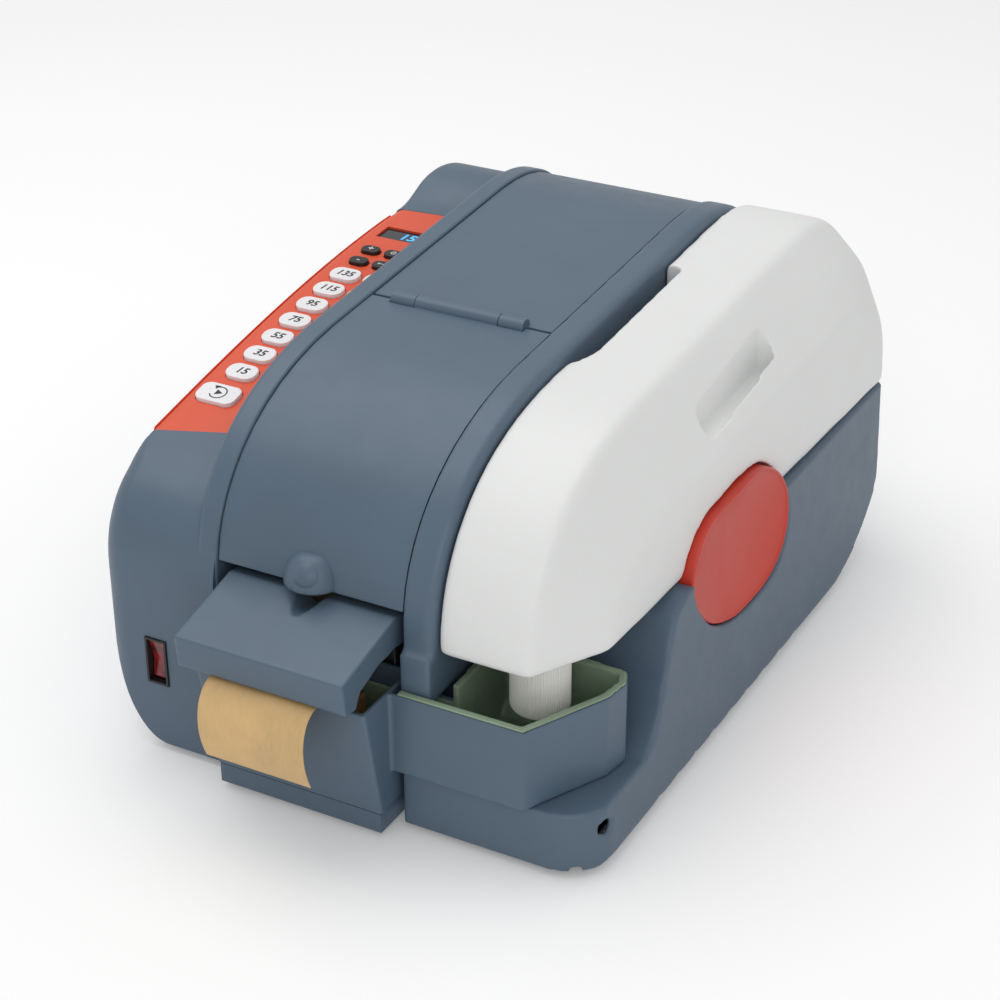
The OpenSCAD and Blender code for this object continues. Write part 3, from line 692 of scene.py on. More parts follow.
def key_top(node):
    """Centre of a key's flat top and the slope of the panel there."""
    bm = sound_copy(node)
    faces = [f for f in bm.faces if f.normal.z > 0.9]
    top = max(faces, key=lambda f: f.calc_center_median().z)
    normal = top.normal.copy()
    low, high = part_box(node)
    centre = Vector(((low.x + high.x) / 2, top.calc_center_median().y, top.calc_center_median().z))
    bm.free()
    return centre, normal


def lay_on(centre, normal, lift):
    """A matrix that lays a flat drawing on a surface, its top towards the rear."""
    across = Vector((1, 0, 0))
    up = normal.cross(across).normalized()
    turned = Matrix((across, up, normal)).transposed().to_4x4()
    return Matrix.Translation(centre + normal * lift) @ turned


def lettering(text, height, slant, weight):
    """A number or sign as a thin mesh, centred, in its own plane."""
    curve = bpy.data.curves.new("lettering", "FONT")
    curve.body = text
    curve.size = height
    curve.shear = slant
    curve.offset = weight
    curve.extrude = 0.04 * MM
    curve.align_x = "CENTER"
    curve.align_y = "CENTER"
    curve.resolution_u = 3
    drawn = scratch_object(curve)
    mesh = baked(drawn)
    bpy.data.objects.remove(drawn)
    return mesh


def flat_shape(points):
    """A thin plate with the outline of the points."""
    bm = bmesh.new()
    ring = [bm.verts.new((x * MM, y * MM, 0)) for x, y in points]
    face = bm.faces.new(ring)
    lifted = bmesh.ops.extrude_face_region(bm, geom=[face])
    top = [v for v in lifted["geom"] if isinstance(v, bmesh.types.BMVert)]
    bmesh.ops.translate(bm, verts=top, vec=(0, 0, 0.08 * MM))
    bmesh.ops.recalc_face_normals(bm, faces=bm.faces)
    return as_mesh(bm)


def joined(meshes):
    bm = bmesh.new()
    for mesh in meshes:
        bm.from_mesh(mesh)
    return as_mesh(bm)


def print_on(node, name, mesh, ink):
    centre, normal = key_top(node)
    mesh.transform(lay_on(centre, normal, 0.02 * MM))
    finish_piece(name, mesh, finish(ink), body_of_node[node], smooth=30)


def arc_points(radius, start, end, steps):
    turns = [math.radians(start + (end - start) * i / steps) for i in range(steps + 1)]
    return [(radius * math.cos(t), radius * math.sin(t)) for t in turns]


def repeat_sign():
    """A triangle inside an open ring with an arrow head."""
    triangle = flat_shape([(-1.5, -2.2), (2.6, 0), (-1.5, 2.2)])
    ring = flat_shape(arc_points(5.0, -150, 120, 24) + arc_points(4.3, 120, -150, 24))
    head = flat_shape([(-4.9, 5.0), (-1.4, 5.3), (-3.1, 2.3)])
    return joined([triangle, ring, head])


def enter_sign():
    stem = flat_shape([(-1.6, -0.25), (2.0, -0.25), (2.0, 1.6), (1.45, 1.6), (1.45, 0.25), (-1.6, 0.25)])
    head = flat_shape([(-1.4, -1.1), (-1.4, 1.1), (-2.8, 0)])
    return joined([stem, head])


def set_sign():
    ring = flat_shape(arc_points(1.7, 0, 350, 20) + arc_points(1.1, 350, 0, 20))
    dot = flat_shape(arc_points(0.5, 0, 330, 11))
    return joined([ring, dot])


# ---- Places in lane millimetres, and turned and plain solids ----

BRUSH_ROWS = (26, 38)
BRUSH_BLOCK_TOP = 62
FOOT_PLACES = ((-22, 60), (-22, 350), (185, 60), (185, 350))
POST_PLACES = ((-24, 90), (-24, 335), (150, 150), (150, 335))
RIDGE_LEFT = -13
RIDGE_RIGHT = 123
COLUMN_LEFT = -73


def revolved(profile, centre, steps):
    """A closed solid from an outline of (radius, height) in millimetres, turned about a vertical axis."""
    bm = bmesh.new()
    rings = []
    for i in range(steps):
        turn = 2 * math.pi * i / steps
        across = Vector((math.cos(turn), math.sin(turn), 0))
        rings.append([bm.verts.new(centre + across * r * MM + Vector((0, 0, z * MM))) for r, z in profile])
    close(bm, rings)
    return as_mesh(bm)


def close(bm, rings):
    """Faces between neighbouring rings of vertices, round in both directions."""
    count = len(rings[0])
    for i, ring in enumerate(rings):
        after = rings[(i + 1) % len(rings)]
        for k in range(count):
            bm.faces.new((ring[k], after[k], after[(k + 1) % count], ring[(k + 1) % count]))
    bmesh.ops.recalc_face_normals(bm, faces=bm.faces)


def soft_block(low, high, radius):
    """A box with rounded edges."""
    bm = bmesh.new()
    bmesh.ops.create_cube(bm, size=1)
    bmesh.ops.transform(
        bm, verts=bm.verts, matrix=Matrix.Translation((low + high) / 2) @ Matrix.Diagonal((*(high - low), 1))
    )
    bmesh.ops.bevel(
        bm, geom=bm.edges, offset=radius, offset_type="OFFSET", segments=3, profile=0.5, affect="EDGES"
    )
    return as_mesh(bm)


# ---- Solids from outlines, in lane millimetres ----

FRONT_Y = 33
REAR_Y = 427
LANE_WIDTH = 106
JOINT_Z = 99
WALL = 3
NEAT_GAP = 0.5
DISH_DEPTH = 12
BOTTLE_X = lane(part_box("side_dish")[0]).x + DISH_DEPTH
RIGHT_X = lane(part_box("right_casing")[1]).x
FACET_X = 172.5
BULGE_X = 190
DISH_CENTRE = (214, 91.5)
DISH_HALF = (59, 37.5)
SWEEP_Y = REAR_Y - 97
FLOOR_END_Y = REAR_Y - 104
ABOVE = 230
INNER_ROUND = 1.2
PANEL_DEPTH = 3.25
PANEL_SKIRT = 8.25
SHAFT_HOLE = 6
FOOT_BOSS = 9.5
CAP_PLACE = (163, 68)
BEND_Y = 205
GRIP_LOW = Vector((186.6, 190))
GRIP_HIGH = Vector((184.5, 268))
GRIP_ROUND = 5


def curve(a, b, c, d, steps):
    """Points of a cubic curve without its last one."""
    points = []
    for i in range(steps):
        t = i / steps
        weights = ((1 - t) ** 3, 3 * t * (1 - t) ** 2, 3 * t * t * (1 - t), t**3)
        points.append(tuple(sum(w * p[k] for w, p in zip(weights, (a, b, c, d))) for k in (0, 1)))
    return points


REAR_FOOT = curve((REAR_Y, 88), (REAR_Y - 3, 48), (REAR_Y - 27, 8), (SWEEP_Y, 0), 20) + [(SWEEP_Y, 0)]
RIDGE_SIDE = (
    [(FRONT_Y, 0)]
    + curve((35, 110), (35, 152), (70, 194.6), (150, 201), 36)
    + [(150, 201)]
    + curve((330, 212.8), (398, 216), (REAR_Y, 186), (REAR_Y, 95), 30)
    + REAR_FOOT
)
COLUMN_SIDE = (
    [(FRONT_Y - 1, 0)]
    + curve((FRONT_Y - 1, 96), (FRONT_Y - 1, 132), (52, 147), (82, 151.4), 24)
    + curve((82, 151.4), (150, 165.5), (235, 181.5), (318, 184.5), 16)
    + [(318, 184.5)]
    + curve((335, 184.7), (352, 184.4), (361, 196.6), (382, 196.2), 16)
    + curve((382, 196.2), (410, 195.6), (REAR_Y, 172), (REAR_Y, 95), 20)
    + REAR_FOOT
)
SHELF_SIDE = [(FRONT_Y - 2, 0), (FRONT_Y - 2, JOINT_Z), (REAR_Y - 0.5, JOINT_Z)] + REAR_FOOT
BOTTLE_SIDE = (
    curve((37, JOINT_Z), (37, 150), (70, 191.5), (150, 197.5), 32)
    + [(150, 197.5)]
    + curve((345, 210), (410, 213), (REAR_Y, 186), (REAR_Y - 2, JOINT_Z), 32)
    + [(REAR_Y - 2, JOINT_Z)]
)
BOTTLE_OUTER_SIDE = (
    curve((77, JOINT_Z), (80, 135), (108, 152.5), (172, 154), 24)
    + [(172, 154)]
    + curve((325, 164.5), (395, 168), (REAR_Y - 10, 146), (REAR_Y - 9, JOINT_Z), 24)
    + [(REAR_Y - 9, JOINT_Z)]
)
BOTTLE_BULGE = (
    [(330, JOINT_Z)]
    + curve((330, 186), (414, 195), (REAR_Y + 1, 172), (REAR_Y - 4, JOINT_Z), 24)
    + [(REAR_Y - 4, JOINT_Z)]
)
DISH_SIDE = (
    curve((155, 94), (156, 108), (163, 126), (180, 128), 12)
    + curve((180, 128), (196, 129.5), (222, 134), (238, 127.5), 10)
    + curve((238, 127.5), (256, 119), (274, 103), (273.5, 82), 12)
    + curve((273.5, 82), (273, 64), (258, 53.5), (236, 53.2), 12)
    + curve((236, 53.2), (196, 51.5), (166, 60), (155, 94), 14)
)
BAY_SIDE = [
    (-60, 33), (-60, JOINT_Z + 20), (150, JOINT_Z + 20), (146, JOINT_Z), (131, 93),
    (122, 76), (111, 52), (103, 40), (92, 33),
]  # fmt: skip
COLUMN_SECTION = curve(
    (COLUMN_LEFT + 36.5, 0), (COLUMN_LEFT + 18, 1), (COLUMN_LEFT + 7, 30), (COLUMN_LEFT - 3, 90), 24
) + [(COLUMN_LEFT - 3, 90), (COLUMN_LEFT - 3, ABOVE), (2, ABOVE), (2, 0)]
PANEL_PLAN = [(COLUMN_LEFT - 5, 82.8), (COLUMN_LEFT - 5, 333.6), (RIDGE_LEFT, 339), (RIDGE_LEFT, 101.4)]
SHELF_SECTION = [(LANE_WIDTH, 0), (LANE_WIDTH, JOINT_Z), (BOTTLE_X, JOINT_Z), (RIGHT_X, 3), (RIGHT_X - 3, 0)]
BOTTLE_NOTCH = (
    [(122, 168)]
    + curve((123, 168), (130, 172), (133, 178), (133.5, 194), 8)
    + [(133.5, 278)]
    + curve((133.5, 282), (133.5, 286), (131, 287.5), (127, 287.5), 6)
    + [(122, 287.5)]
)
# How much of the nose's rounding the control column's left edge has, from the front to the rear
COLUMN_ROUNDS = [(40, 1.0), (60, 0.81), (78, 0.36), (95, 0.25), (362, 0.25), (400, 0.6), (REAR_Y, 1.4)]


def lookup(at_y, table):
    """The value of a table of (y, value) pairs at a y, straight between its rows."""
    if at_y <= table[0][0]:
        return table[0][1]
    for (y0, v0), (y1, v1) in zip(table, table[1:]):
        if at_y <= y1:
            return v0 + (v1 - v0) * (at_y - y0) / (y1 - y0)
    return table[-1][1]


def corner(outline, i):
    """The way into an outline at a corner, as long as a wall of one needs there."""
    back, here, ahead = (Vector(outline[k % len(outline)]) for k in (i - 1, i, i + 1))
    first, second = (here - back).normalized(), (ahead - here).normalized()
    first, second = Vector((first.y, -first.x)), Vector((second.y, -second.x))
    return (first + second) / (1 + first.dot(second))


def inset(outline, depth):
    """A clockwise outline moved inwards."""
    return [tuple(Vector(p) + depth * corner(outline, i)) for i, p in enumerate(outline)]


def moved(outline, across, up):
    return [(a + across, b + up) for a, b in outline]


def skin(rings):
    """A closed solid from rings of places, with a face on both ends."""
    bm = bmesh.new()
    made = [[bm.verts.new(p) for p in ring] for ring in rings]
    count = len(made[0])
    for near_ring, far_ring in zip(made, made[1:]):
        for k in range(count):
            after = (k + 1) % count
            bm.faces.new((near_ring[k], near_ring[after], far_ring[after], far_ring[k]))
    bm.faces.new(made[0])
    bm.faces.new(made[-1])
    bmesh.ops.recalc_face_normals(bm, faces=bm.faces)
    return as_mesh(bm)


def prism(axis, outline, low, high):
    """An outline drawn out along an axis. It holds (y, z), (x, z) or (x, y) pairs."""
    turn = {
        "x": lambda a, b, t: at(t, a, b),
        "y": lambda a, b, t: at(a, t, b),
        "z": lambda a, b, t: at(a, b, t),
    }
    return skin([[turn[axis](a, b, t) for a, b in outline] for t in (low, high)])


def block(low, high):
    """A box between two corners."""
    (x0, y0, z0), (x1, y1, z1) = low, high
    return prism("x", [(y0, z0), (y0, z1), (y1, z1), (y1, z0)], x0, x1)


def rod(low, high, centre, radius):
    """A round bar along x."""
    steps = 32
    turns = [2 * math.pi * i / steps for i in range(steps)]
    outline = [(centre[0] + radius * math.sin(t), centre[1] + radius * math.cos(t)) for t in turns]
    return prism("x", outline, low, high)


def even(radius):
    """A rounding that is the same at every y."""
    return lambda y: radius


def slab(outline, left, right, left_round, right_round, depth=0.0):
    """A side outline drawn out along x with rounded edges. Each rounding is a function of y."""
    path = inset(outline, depth) if depth else outline
    ways = [corner(path, i) for i in range(len(path))]
    steps = 8
    rings = []
    for side, place, rounding in ((1, left, left_round), (-1, right, right_round)):
        part = []
        for k in range(steps + 1):
            turn = math.pi / 2 * k / steps
            ring = []
            for i, p in enumerate(path):
                radius = max(rounding(outline[i][0]) - depth, 0.05)
                y, z = Vector(p) + radius * (1 - math.sin(turn)) * ways[i]
                ring.append(at(place + side * (depth + radius * (1 - math.cos(turn))), y, z))
            part.append(ring)
        rings += part if side > 0 else part[::-1]
    return skin(rings)


def combine(first, second, how):
    """UNION, DIFFERENCE or INTERSECT of two solids."""
    kept, tool = scratch_object(first), scratch_object(second)
    modifier = kept.modifiers.new("combine", "BOOLEAN")
    modifier.object = tool
    modifier.operation = how
    modifier.solver = "EXACT"
    mesh = baked(kept)
    bpy.data.objects.remove(kept)
    bpy.data.objects.remove(tool)
    if not mesh.polygons:
        raise RuntimeError("nothing is left of a solid after " + how)
    return mesh


def without(solid, *tools):
    for tool in tools:
        solid = combine(solid, tool, "DIFFERENCE")
    return solid


def shared(solid, *tools):
    for tool in tools:
        solid = combine(solid, tool, "INTERSECT")
    return solid


def plain_copy(node):
    return as_mesh(sound_copy(node))


def soften(mesh, grain, rounds, keep=1.0):
    """Blends every edge of a solid with small fillets, and thins it where it is flat."""
    piece = scratch_object(mesh)
    remesh = piece.modifiers.new("blend", "REMESH")
    remesh.mode = "VOXEL"
    remesh.voxel_size = grain
    smooth = piece.modifiers.new("soften", "SMOOTH")
    smooth.factor = 0.5
    smooth.iterations = rounds
    if keep < 1:
        thin = piece.modifiers.new("thin", "DECIMATE")
        thin.ratio = keep
    made = baked(piece)
    bpy.data.objects.remove(piece)
    return made


def stand_in(name, mesh, node, smooth=32):
    """Puts a finished mesh in a CAD node's place."""
    slot = slot_of_node[node]
    piece = finish_piece(name, mesh, finish(slot), body_of_node[node], smooth)
    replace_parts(piece, node)


def dish_grown(extra):
    """The dish's outline grown all round."""
    (cy, cz), (long, high) = DISH_CENTRE, DISH_HALF
    return [
        (cy + (y - cy) * (long + extra) / long, cz + (z - cz) * (high + extra) / high)
        for y, z in DISH_SIDE
    ]


def arc_outline(cx, cy, radius, start, end, steps):
    return [(cx + x, cy + y) for x, y in arc_points(radius, start, end, steps)]


class DISPENSER_OT_casings(bpy.types.Operator):
    """Left and right casing and the base, with rounded ridges"""

    bl_idname = "dispenser.casings"
    bl_label = "Casings"

    def execute(self, context):
        stand_in("left_casing_shell", self.left_casing(), "left_casing", 38)
        stand_in("right_casing_shell", self.right_casing(), "right_casing", 60)
        self.base()
        return {"FINISHED"}

    def column(self, depth):
        """The control column as a solid, moved inwards by a depth."""
        nose = sizes().column_front / MM
        body = slab(COLUMN_SIDE, COLUMN_LEFT, -1, lambda y: nose * lookup(y, COLUMN_ROUNDS), even(0), depth)
        return shared(body, prism("y", inset(COLUMN_SECTION, depth), 0, REAR_Y + 10))

    def left_casing(self):
        ridge = slab(RIDGE_SIDE, RIDGE_LEFT, 0, even(sizes().ridge_round / MM), even(INNER_ROUND))
        outer = combine(self.column(0), ridge, "UNION")
        ridge_hollow = prism("x", inset(RIDGE_SIDE, WALL), RIDGE_LEFT + WALL, -WALL)
        hollow = combine(self.column(WALL), ridge_hollow, "UNION")
        panel_seat = without(
            prism("z", PANEL_PLAN, 100, ABOVE),
            prism("x", moved(COLUMN_SIDE, 0, -PANEL_DEPTH), COLUMN_LEFT + PANEL_DEPTH, 2),
            prism("x", moved(COLUMN_SIDE, 0, -PANEL_SKIRT), COLUMN_LEFT - 8, COLUMN_LEFT + PANEL_DEPTH),
        )
        shaft = lane(sum(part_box("feed_shaft"), Vector()) / 2)
        return without(
            outer,
            hollow,
            block((COLUMN_LEFT + 38, FRONT_Y + 4, -1), (1, FLOOR_END_Y, WALL + 0.1)),
            panel_seat,
            self.opening((-39.2, 50.3), (6.7, 13.7), FRONT_Y - 17, FRONT_Y + 7),
            self.opening((-42, 80), (16.2, 12.2), REAR_Y - 20, REAR_Y + 20),
            rod(-WALL - 1, 1, (shaft.y, shaft.z), SHAFT_HOLE),
        )

    def opening(self, middle, half, front, rear):
        """What the switch or the mains inlet takes out of a wall. Its middle and half size are in x and z."""
        (x, z), (half_x, half_z) = middle, half
        return block((x - half_x, front, z - half_z), (x + half_x, rear, z + half_z))

    def shelf(self, depth):
        """The low right half as a solid, moved inwards by a depth, without the tank's bay."""
        plan = (
            [(LANE_WIDTH, FRONT_Y - 2), (LANE_WIDTH, REAR_Y)]
            + arc_outline(RIGHT_X - 30, REAR_Y - 30, 30, 90, 0, 14)
            + arc_outline(RIGHT_X - 26, FRONT_Y + 24, 26, 0, -90, 14)
        )
        low = shared(
            prism("x", inset(SHELF_SIDE, depth), LANE_WIDTH + depth, RIGHT_X + 1),
            prism("z", inset(plan, depth), -1, JOINT_Z + 0.5),
            prism("y", inset(SHELF_SECTION, depth), 0, REAR_Y + 1),
        )
        outer_round = even(sizes().ridge_round / MM)
        ridge = slab(RIDGE_SIDE, LANE_WIDTH, RIDGE_RIGHT, even(INNER_ROUND), outer_round, depth)
        return without(
            combine(low, ridge, "UNION"),
            prism("x", inset(BAY_SIDE, -depth), RIDGE_RIGHT - depth, RIGHT_X + 5),
            block((LANE_WIDTH - 5, -60 - depth, 33 - depth), (RIDGE_RIGHT + 1, 62 + depth, 74 + depth)),
        )

    def right_casing(self):
        back = BOTTLE_X - DISH_DEPTH
        hollow = without(self.shelf(WALL), prism("x", dish_grown(WALL), back - WALL, RIGHT_X + 1))
        solid = without(
            self.shelf(0),
            hollow,
            block((LANE_WIDTH - 1, FRONT_Y + 2, -1), (RIGHT_X - 10, FLOOR_END_Y, WALL + 0.1)),
            prism("x", dish_grown(0.6), back - 0.4, RIGHT_X + 3),
            rod(RIGHT_X - 10, RIGHT_X + 1, (48.6, 21.9), 4),
            *[rod(RIGHT_X - 12, RIGHT_X + 1, (106 + i * 22, -10), 13) for i in range(9)],
        )
        return soften(solid, sizes().casing_grain, 6, 0.32)

    def base(self):
        """The pan, trimmed to the casings' swept rear, with its rear wall made anew."""
        swept = [(-60, -1), (-60, ABOVE), (REAR_Y + 1, ABOVE)] + REAR_FOOT + [(SWEEP_Y, -1)]
        pan = shared(plain_copy("base_pan"), prism("x", swept, -80, 240))
        for x, y in FOOT_PLACES[1::2]:
            boss = prism("z", arc_outline(x, y, FOOT_BOSS, 0, -345, 24), 0, 10)
            pan = combine(pan, boss, "UNION")
        wall = without(
            prism("x", inset(RIDGE_SIDE, 0.2), NEAT_GAP, LANE_WIDTH - NEAT_GAP),
            prism("x", inset(RIDGE_SIDE, WALL), -1, LANE_WIDTH + 1),
        )
        wall = shared(wall, block((-1, REAR_Y - 100, -1), (LANE_WIDTH + 1, REAR_Y + 5, 144.5)))
        stand_in("base_shell", combine(pan, wall, "UNION"), "base_pan", 38)


class DISPENSER_OT_covers(bpy.types.Operator):
    """Front and rear cover with their hinge, and the press hood"""

    bl_idname = "dispenser.covers"
    bl_label = "Covers and hood"

    def execute(self, context):
        s = sizes()
        dress("front_cover", radius=s.cover_round)
        finish_piece("cover_nib", self.nib(), finish("body_grey"), "front_cover", 60)
        dress("rear_cover", radius=s.cover_round)
        stand_in("hood_shell", soften(plain_copy("press_hood"), s.hood_grain, 5), "press_hood", 60)
        for node in ("cover_hinge_pin", "rear_hinge_pin", "press_plate"):
            dress(node, radius=0.2 * MM)
        return {"FINISHED"}

    def nib(self):
        """Half cone that lifts the front cover, wide below and drawn into the cover above."""
        foot, height, steps = 118.9, 16.2, 36
        rings = []
        for turn in range(0, 91, 9):
            up = math.sin(math.radians(turn))
            out = math.cos(math.radians(turn))
            half_x = 15.0 * out**0.7 + 0.05
            half_y = 13.2 * out**0.55 + 0.05
            x, y, z = LANE_WIDTH / 2, 40.5 + 2.5 * up, foot + height * up
            turns = [2 * math.pi * k / steps for k in range(steps)]
            rings.append([at(x + half_x * math.cos(t), y + half_y * math.sin(t), z) for t in turns])
        return soften(skin(rings), 0.8 * MM, 6)


class DISPENSER_OT_panel(bpy.types.Operator):
    """Key panel, display and circuit board"""

    bl_idname = "dispenser.panel"
    bl_label = "Key panel"

    def execute(self, context):
        s = sizes()
        dress("control_panel", rounds=[(s.column_round, on_left_flank)])
        dress("display_window", radius=0.2 * MM)
        dress("control_board", radius=0.1 * MM)
        digits = lettering("15", 10 * MM, 0.1, 0.15 * MM)
        print_on("display_window", "display_digits", digits, "lit_digits")
        return {"FINISHED"}


class DISPENSER_OT_keys(bpy.types.Operator):
    """Number keys and small keys with plain numbers and signs"""

    bl_idname = "dispenser.keys"
    bl_label = "Keys"

    def execute(self, context):
        for node in sorted(n for n in nodes if n.startswith("key_")):
            small = slot_of_node[node] == "key_black"
            dress(node, radius=0.8 * MM if small else 1.3 * MM)
            number = node.removeprefix("key_")
            if number.isdigit():
                print_on(node, "number_" + number, lettering(number, 7.2 * MM, 0.18, 0.17 * MM), "black_ink")
        print_on("key_start", "sign_start", repeat_sign(), "black_ink")
        print_on("key_plus", "sign_plus", lettering("+", 7 * MM, 0, 0.1 * MM), "white_ink")
        print_on("key_minus", "sign_minus", lettering("-", 7 * MM, 0, 0.1 * MM), "white_ink")
        print_on("key_enter", "sign_enter", enter_sign(), "white_ink")
        print_on("key_set", "sign_set", set_sign(), "white_ink")
        return {"FINISHED"}


class DISPENSER_OT_bottle(bpy.types.Operator):
    """Water bottle with blended faces, its ribbed cap and the valve"""

    bl_idname = "dispenser.bottle"
    bl_label = "Water bottle"

    def execute(self, context):
        stand_in("water_bottle", self.bottle(), "bottle", 60)
        self.cap()
        dress("valve_plunger", radius=0.3 * MM)
        return {"FINISHED"}

    def bottle(self):
        """A hull over four side outlines with its bore, notch and grip slot, and room for the dish."""
        turn = Matrix.Rotation(math.radians(-4.3), 4, "Z")
        bend = at(BOTTLE_X, BEND_Y, 0)
        bm = bmesh.new()
        for x, outline in ((123.5, BOTTLE_SIDE), (FACET_X, BOTTLE_SIDE), (BULGE_X, BOTTLE_BULGE)):
            for y, z in outline:
                bm.verts.new(at(x, y, z))
        for y, z in BOTTLE_OUTER_SIDE:
            place = at(BOTTLE_X, y, z)
            bm.verts.new(bend + turn @ (place - bend) if y < BEND_Y else place)
        whole = bmesh.ops.convex_hull(bm, input=bm.verts)
        bmesh.ops.delete(bm, geom=list(set(whole["geom_interior"] + whole["geom_unused"])), context="VERTS")
        bmesh.ops.recalc_face_normals(bm, faces=bm.faces)
        mouth = at(*CAP_PLACE, JOINT_Z)
        neck = revolved([(0.01, -18), (12, -18), (12, 2), (0.01, 2)], mouth, 48)
        bore = revolved([(0.01, -20), (10, -20), (10, 60), (0.01, 60)], mouth, 48)
        body = soften(as_mesh(bm), 1.4 * MM, 55)
        return soften(
            without(
                combine(body, neck, "UNION"),
                bore,
                prism("x", dish_grown(1.5), BOTTLE_X - 14, RIGHT_X + 3),
                prism("z", BOTTLE_NOTCH, 168, ABOVE),
                prism("z", self.grip_plan(), 164, ABOVE),
            ),
            sizes().bottle_grain,
            4,
            0.42,
        )

    def grip_plan(self):
        """The grip slot from above: a long outline with round ends."""
        along = (GRIP_HIGH - GRIP_LOW).normalized()
        aside = GRIP_ROUND * Vector((along.y, -along.x))
        plan = []
        for middle, start in ((GRIP_HIGH + aside, 180), (GRIP_LOW + aside, 0)):
            plan += [tuple(middle + Vector(p)) for p in arc_points(GRIP_ROUND, start, start - 180, 12)]
        return plan

    def cap(self):
        """A turned shell with a ring of grip ribs."""
        low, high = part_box("bottle_cap")
        middle = (low + high) / 2
        outer = (high.x - low.x) / 2 - 0.5 * MM
        profile = [
            (3.05, 0), (13.0, 0), (14.0, 0.4), (14.5, 1.4), (14.5, 31.6), (14.1, 32),
            (12.05, 32), (12.05, 14), (7, 14), (7, 4), (3.05, 4),
        ]  # fmt: skip
        shell = revolved(profile, Vector((middle.x, middle.y, low.z)), 72)
        ribs = grow(
            "cap_ribs",
            rib_ring_tree(),
            {
                "Count": sizes().cap_ribs,
                "Radius": outer + 0.08 * MM,
                "Rib radius": 0.42 * MM,
                "Height": high.z - low.z - 4 * MM,
                "Centre": tuple(middle),
            },
            finish("cap_white"),
        )
        stand_in("cap", joined([shell, ribs]), "bottle_cap", 40)


class DISPENSER_OT_tank(bpy.types.Operator):
    """Water tank, its tray and the two brushes"""

    bl_idname = "dispenser.tank"
    bl_label = "Water tank"

    def execute(self, context):
        stand_in("tank_shell", soften(plain_copy("tank_housing"), 0.9 * MM, 6, 0.4), "tank_housing", 60)
        tray = without(plain_copy("water_tray"), block((-5, -30, 67), (107, 60, 90)))
        stand_in("tray_shell", soften(tray, 0.8 * MM, 3, 0.4), "water_tray", 60)
        self.brushes()
        return {"FINISHED"}

    def brushes(self):
        """Two wooden blocks with tufts of bristle."""
        low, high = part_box("tank_brushes")
        block_top = at(0, 0, BRUSH_BLOCK_TOP).z
        blocks = []
        tufts = []
        for y in BRUSH_ROWS:
            middle = at(0, y, 0).y
            front = Vector((low.x, middle - 4.5 * MM, low.z))
            rear = Vector((high.x, middle + 4.5 * MM, block_top))
            blocks.append(soft_block(front, rear, 0.8 * MM))
            tufts.append(
                grow(
                    "tufts",
                    bristle_tree(),
                    {
                        "Length": high.x - low.x - 5 * MM,
                        "Width": 6 * MM,
                        "Height": high.z - block_top,
                        "Rows": sizes().bristle_rows,
                        "Corner": ((low.x + high.x) / 2, middle, block_top),
                        "Seed": int(y),
                    },
                    finish("bristles"),
                )
            )
        stand_in("brush_blocks", joined(blocks), "tank_brushes")
        finish_piece("brush_tufts", joined(tufts), finish("bristles"), "tank", 60)


class DISPENSER_OT_dish(bpy.types.Operator):
    """Red dish in the side"""

    bl_idname = "dispenser.dish"
    bl_label = "Side dish"

    def execute(self, context):
        low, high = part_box("side_dish")
        middle = at(0, *DISH_CENTRE)
        middle.x = 0
        outline = [Vector((0, *(at(0, y, z) - middle).yz)) for y, z in DISH_SIDE]
        rings = []
        for scale, x in self.profile(low.x, high.x):
            ring = [middle + p * scale + Vector((x, 0, 0)) for p in outline]
            for place in ring:
                place.x -= (0.8 + 0.075 * max(0, BEND_Y - lane(place).y)) * MM
            rings.append(ring)
        stand_in("dished_cover", skin(rings), "side_dish", 50)
        return {"FINISHED"}

    def profile(self, back, face):
        """Scale and place of each ring: the back, the wall, the rounded rim and the hollow."""
        yield 1.0, back
        yield 1.0, face - 1.4 * MM
        rim, hollow, rim_scale = 1.2 * MM, 7.5 * MM, 0.95
        for turn in (30, 60, 90, 120, 150):
            angle = math.radians(turn)
            yield 0.98 + 0.02 * math.cos(angle), face - rim * (1 - math.sin(angle))
        steps = 12
        for i in range(steps):
            scale = rim_scale * (1 - i / steps)
            yield scale, face - rim - hollow * (1 - (scale / rim_scale) ** 2.4)


class DISPENSER_OT_tape(bpy.types.Operator):
    """Tape roll with its core, the threaded tape and the cut strip"""

    bl_idname = "dispenser.tape"
    bl_label = "Tape"

    def execute(self, context):
        dress("tape_roll", material=finish("roll_edge"), smooth=40)
        for node in ("roll_core", "tape_web", "cut_strip"):
            dress(node)
        return {"FINISHED"}


class DISPENSER_OT_works(bpy.types.Operator):
    """Feed drive, cutter, chassis, power parts and feet"""

    bl_idname = "dispenser.works"
    bl_label = "Works"

    def execute(self, context):
        for node in ("left_side_plate", "right_side_plate"):
            trimmed = shared(plain_copy(node), prism("x", inset(RIDGE_SIDE, 3.4), 0, 110))
            stand_in("trimmed_" + node, trimmed, node)
        done = {n for o in bpy.data.objects for n in o.get("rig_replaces", [])}
        for node in sorted(set(nodes) - done):
            dress(node, radius=0.2 * MM)
        self.screws()
        return {"FINISHED"}

    def screws(self):
        """Screws under the base: one in each foot and one for each post of the casings."""
        places = [at(x, y, -2.4) for x, y in FOOT_PLACES] + [at(x, y, -0.6) for x, y in POST_PLACES]
        points = bpy.data.meshes.new("screw_places")
        points.from_pydata(places, [], [])
        heads = grow("screws", screw_tree(), {"Facing": (math.pi, 0, 0)}, finish("steel_ground"), points)
        finish_piece("base_screws", heads, finish("steel_ground"), "root")


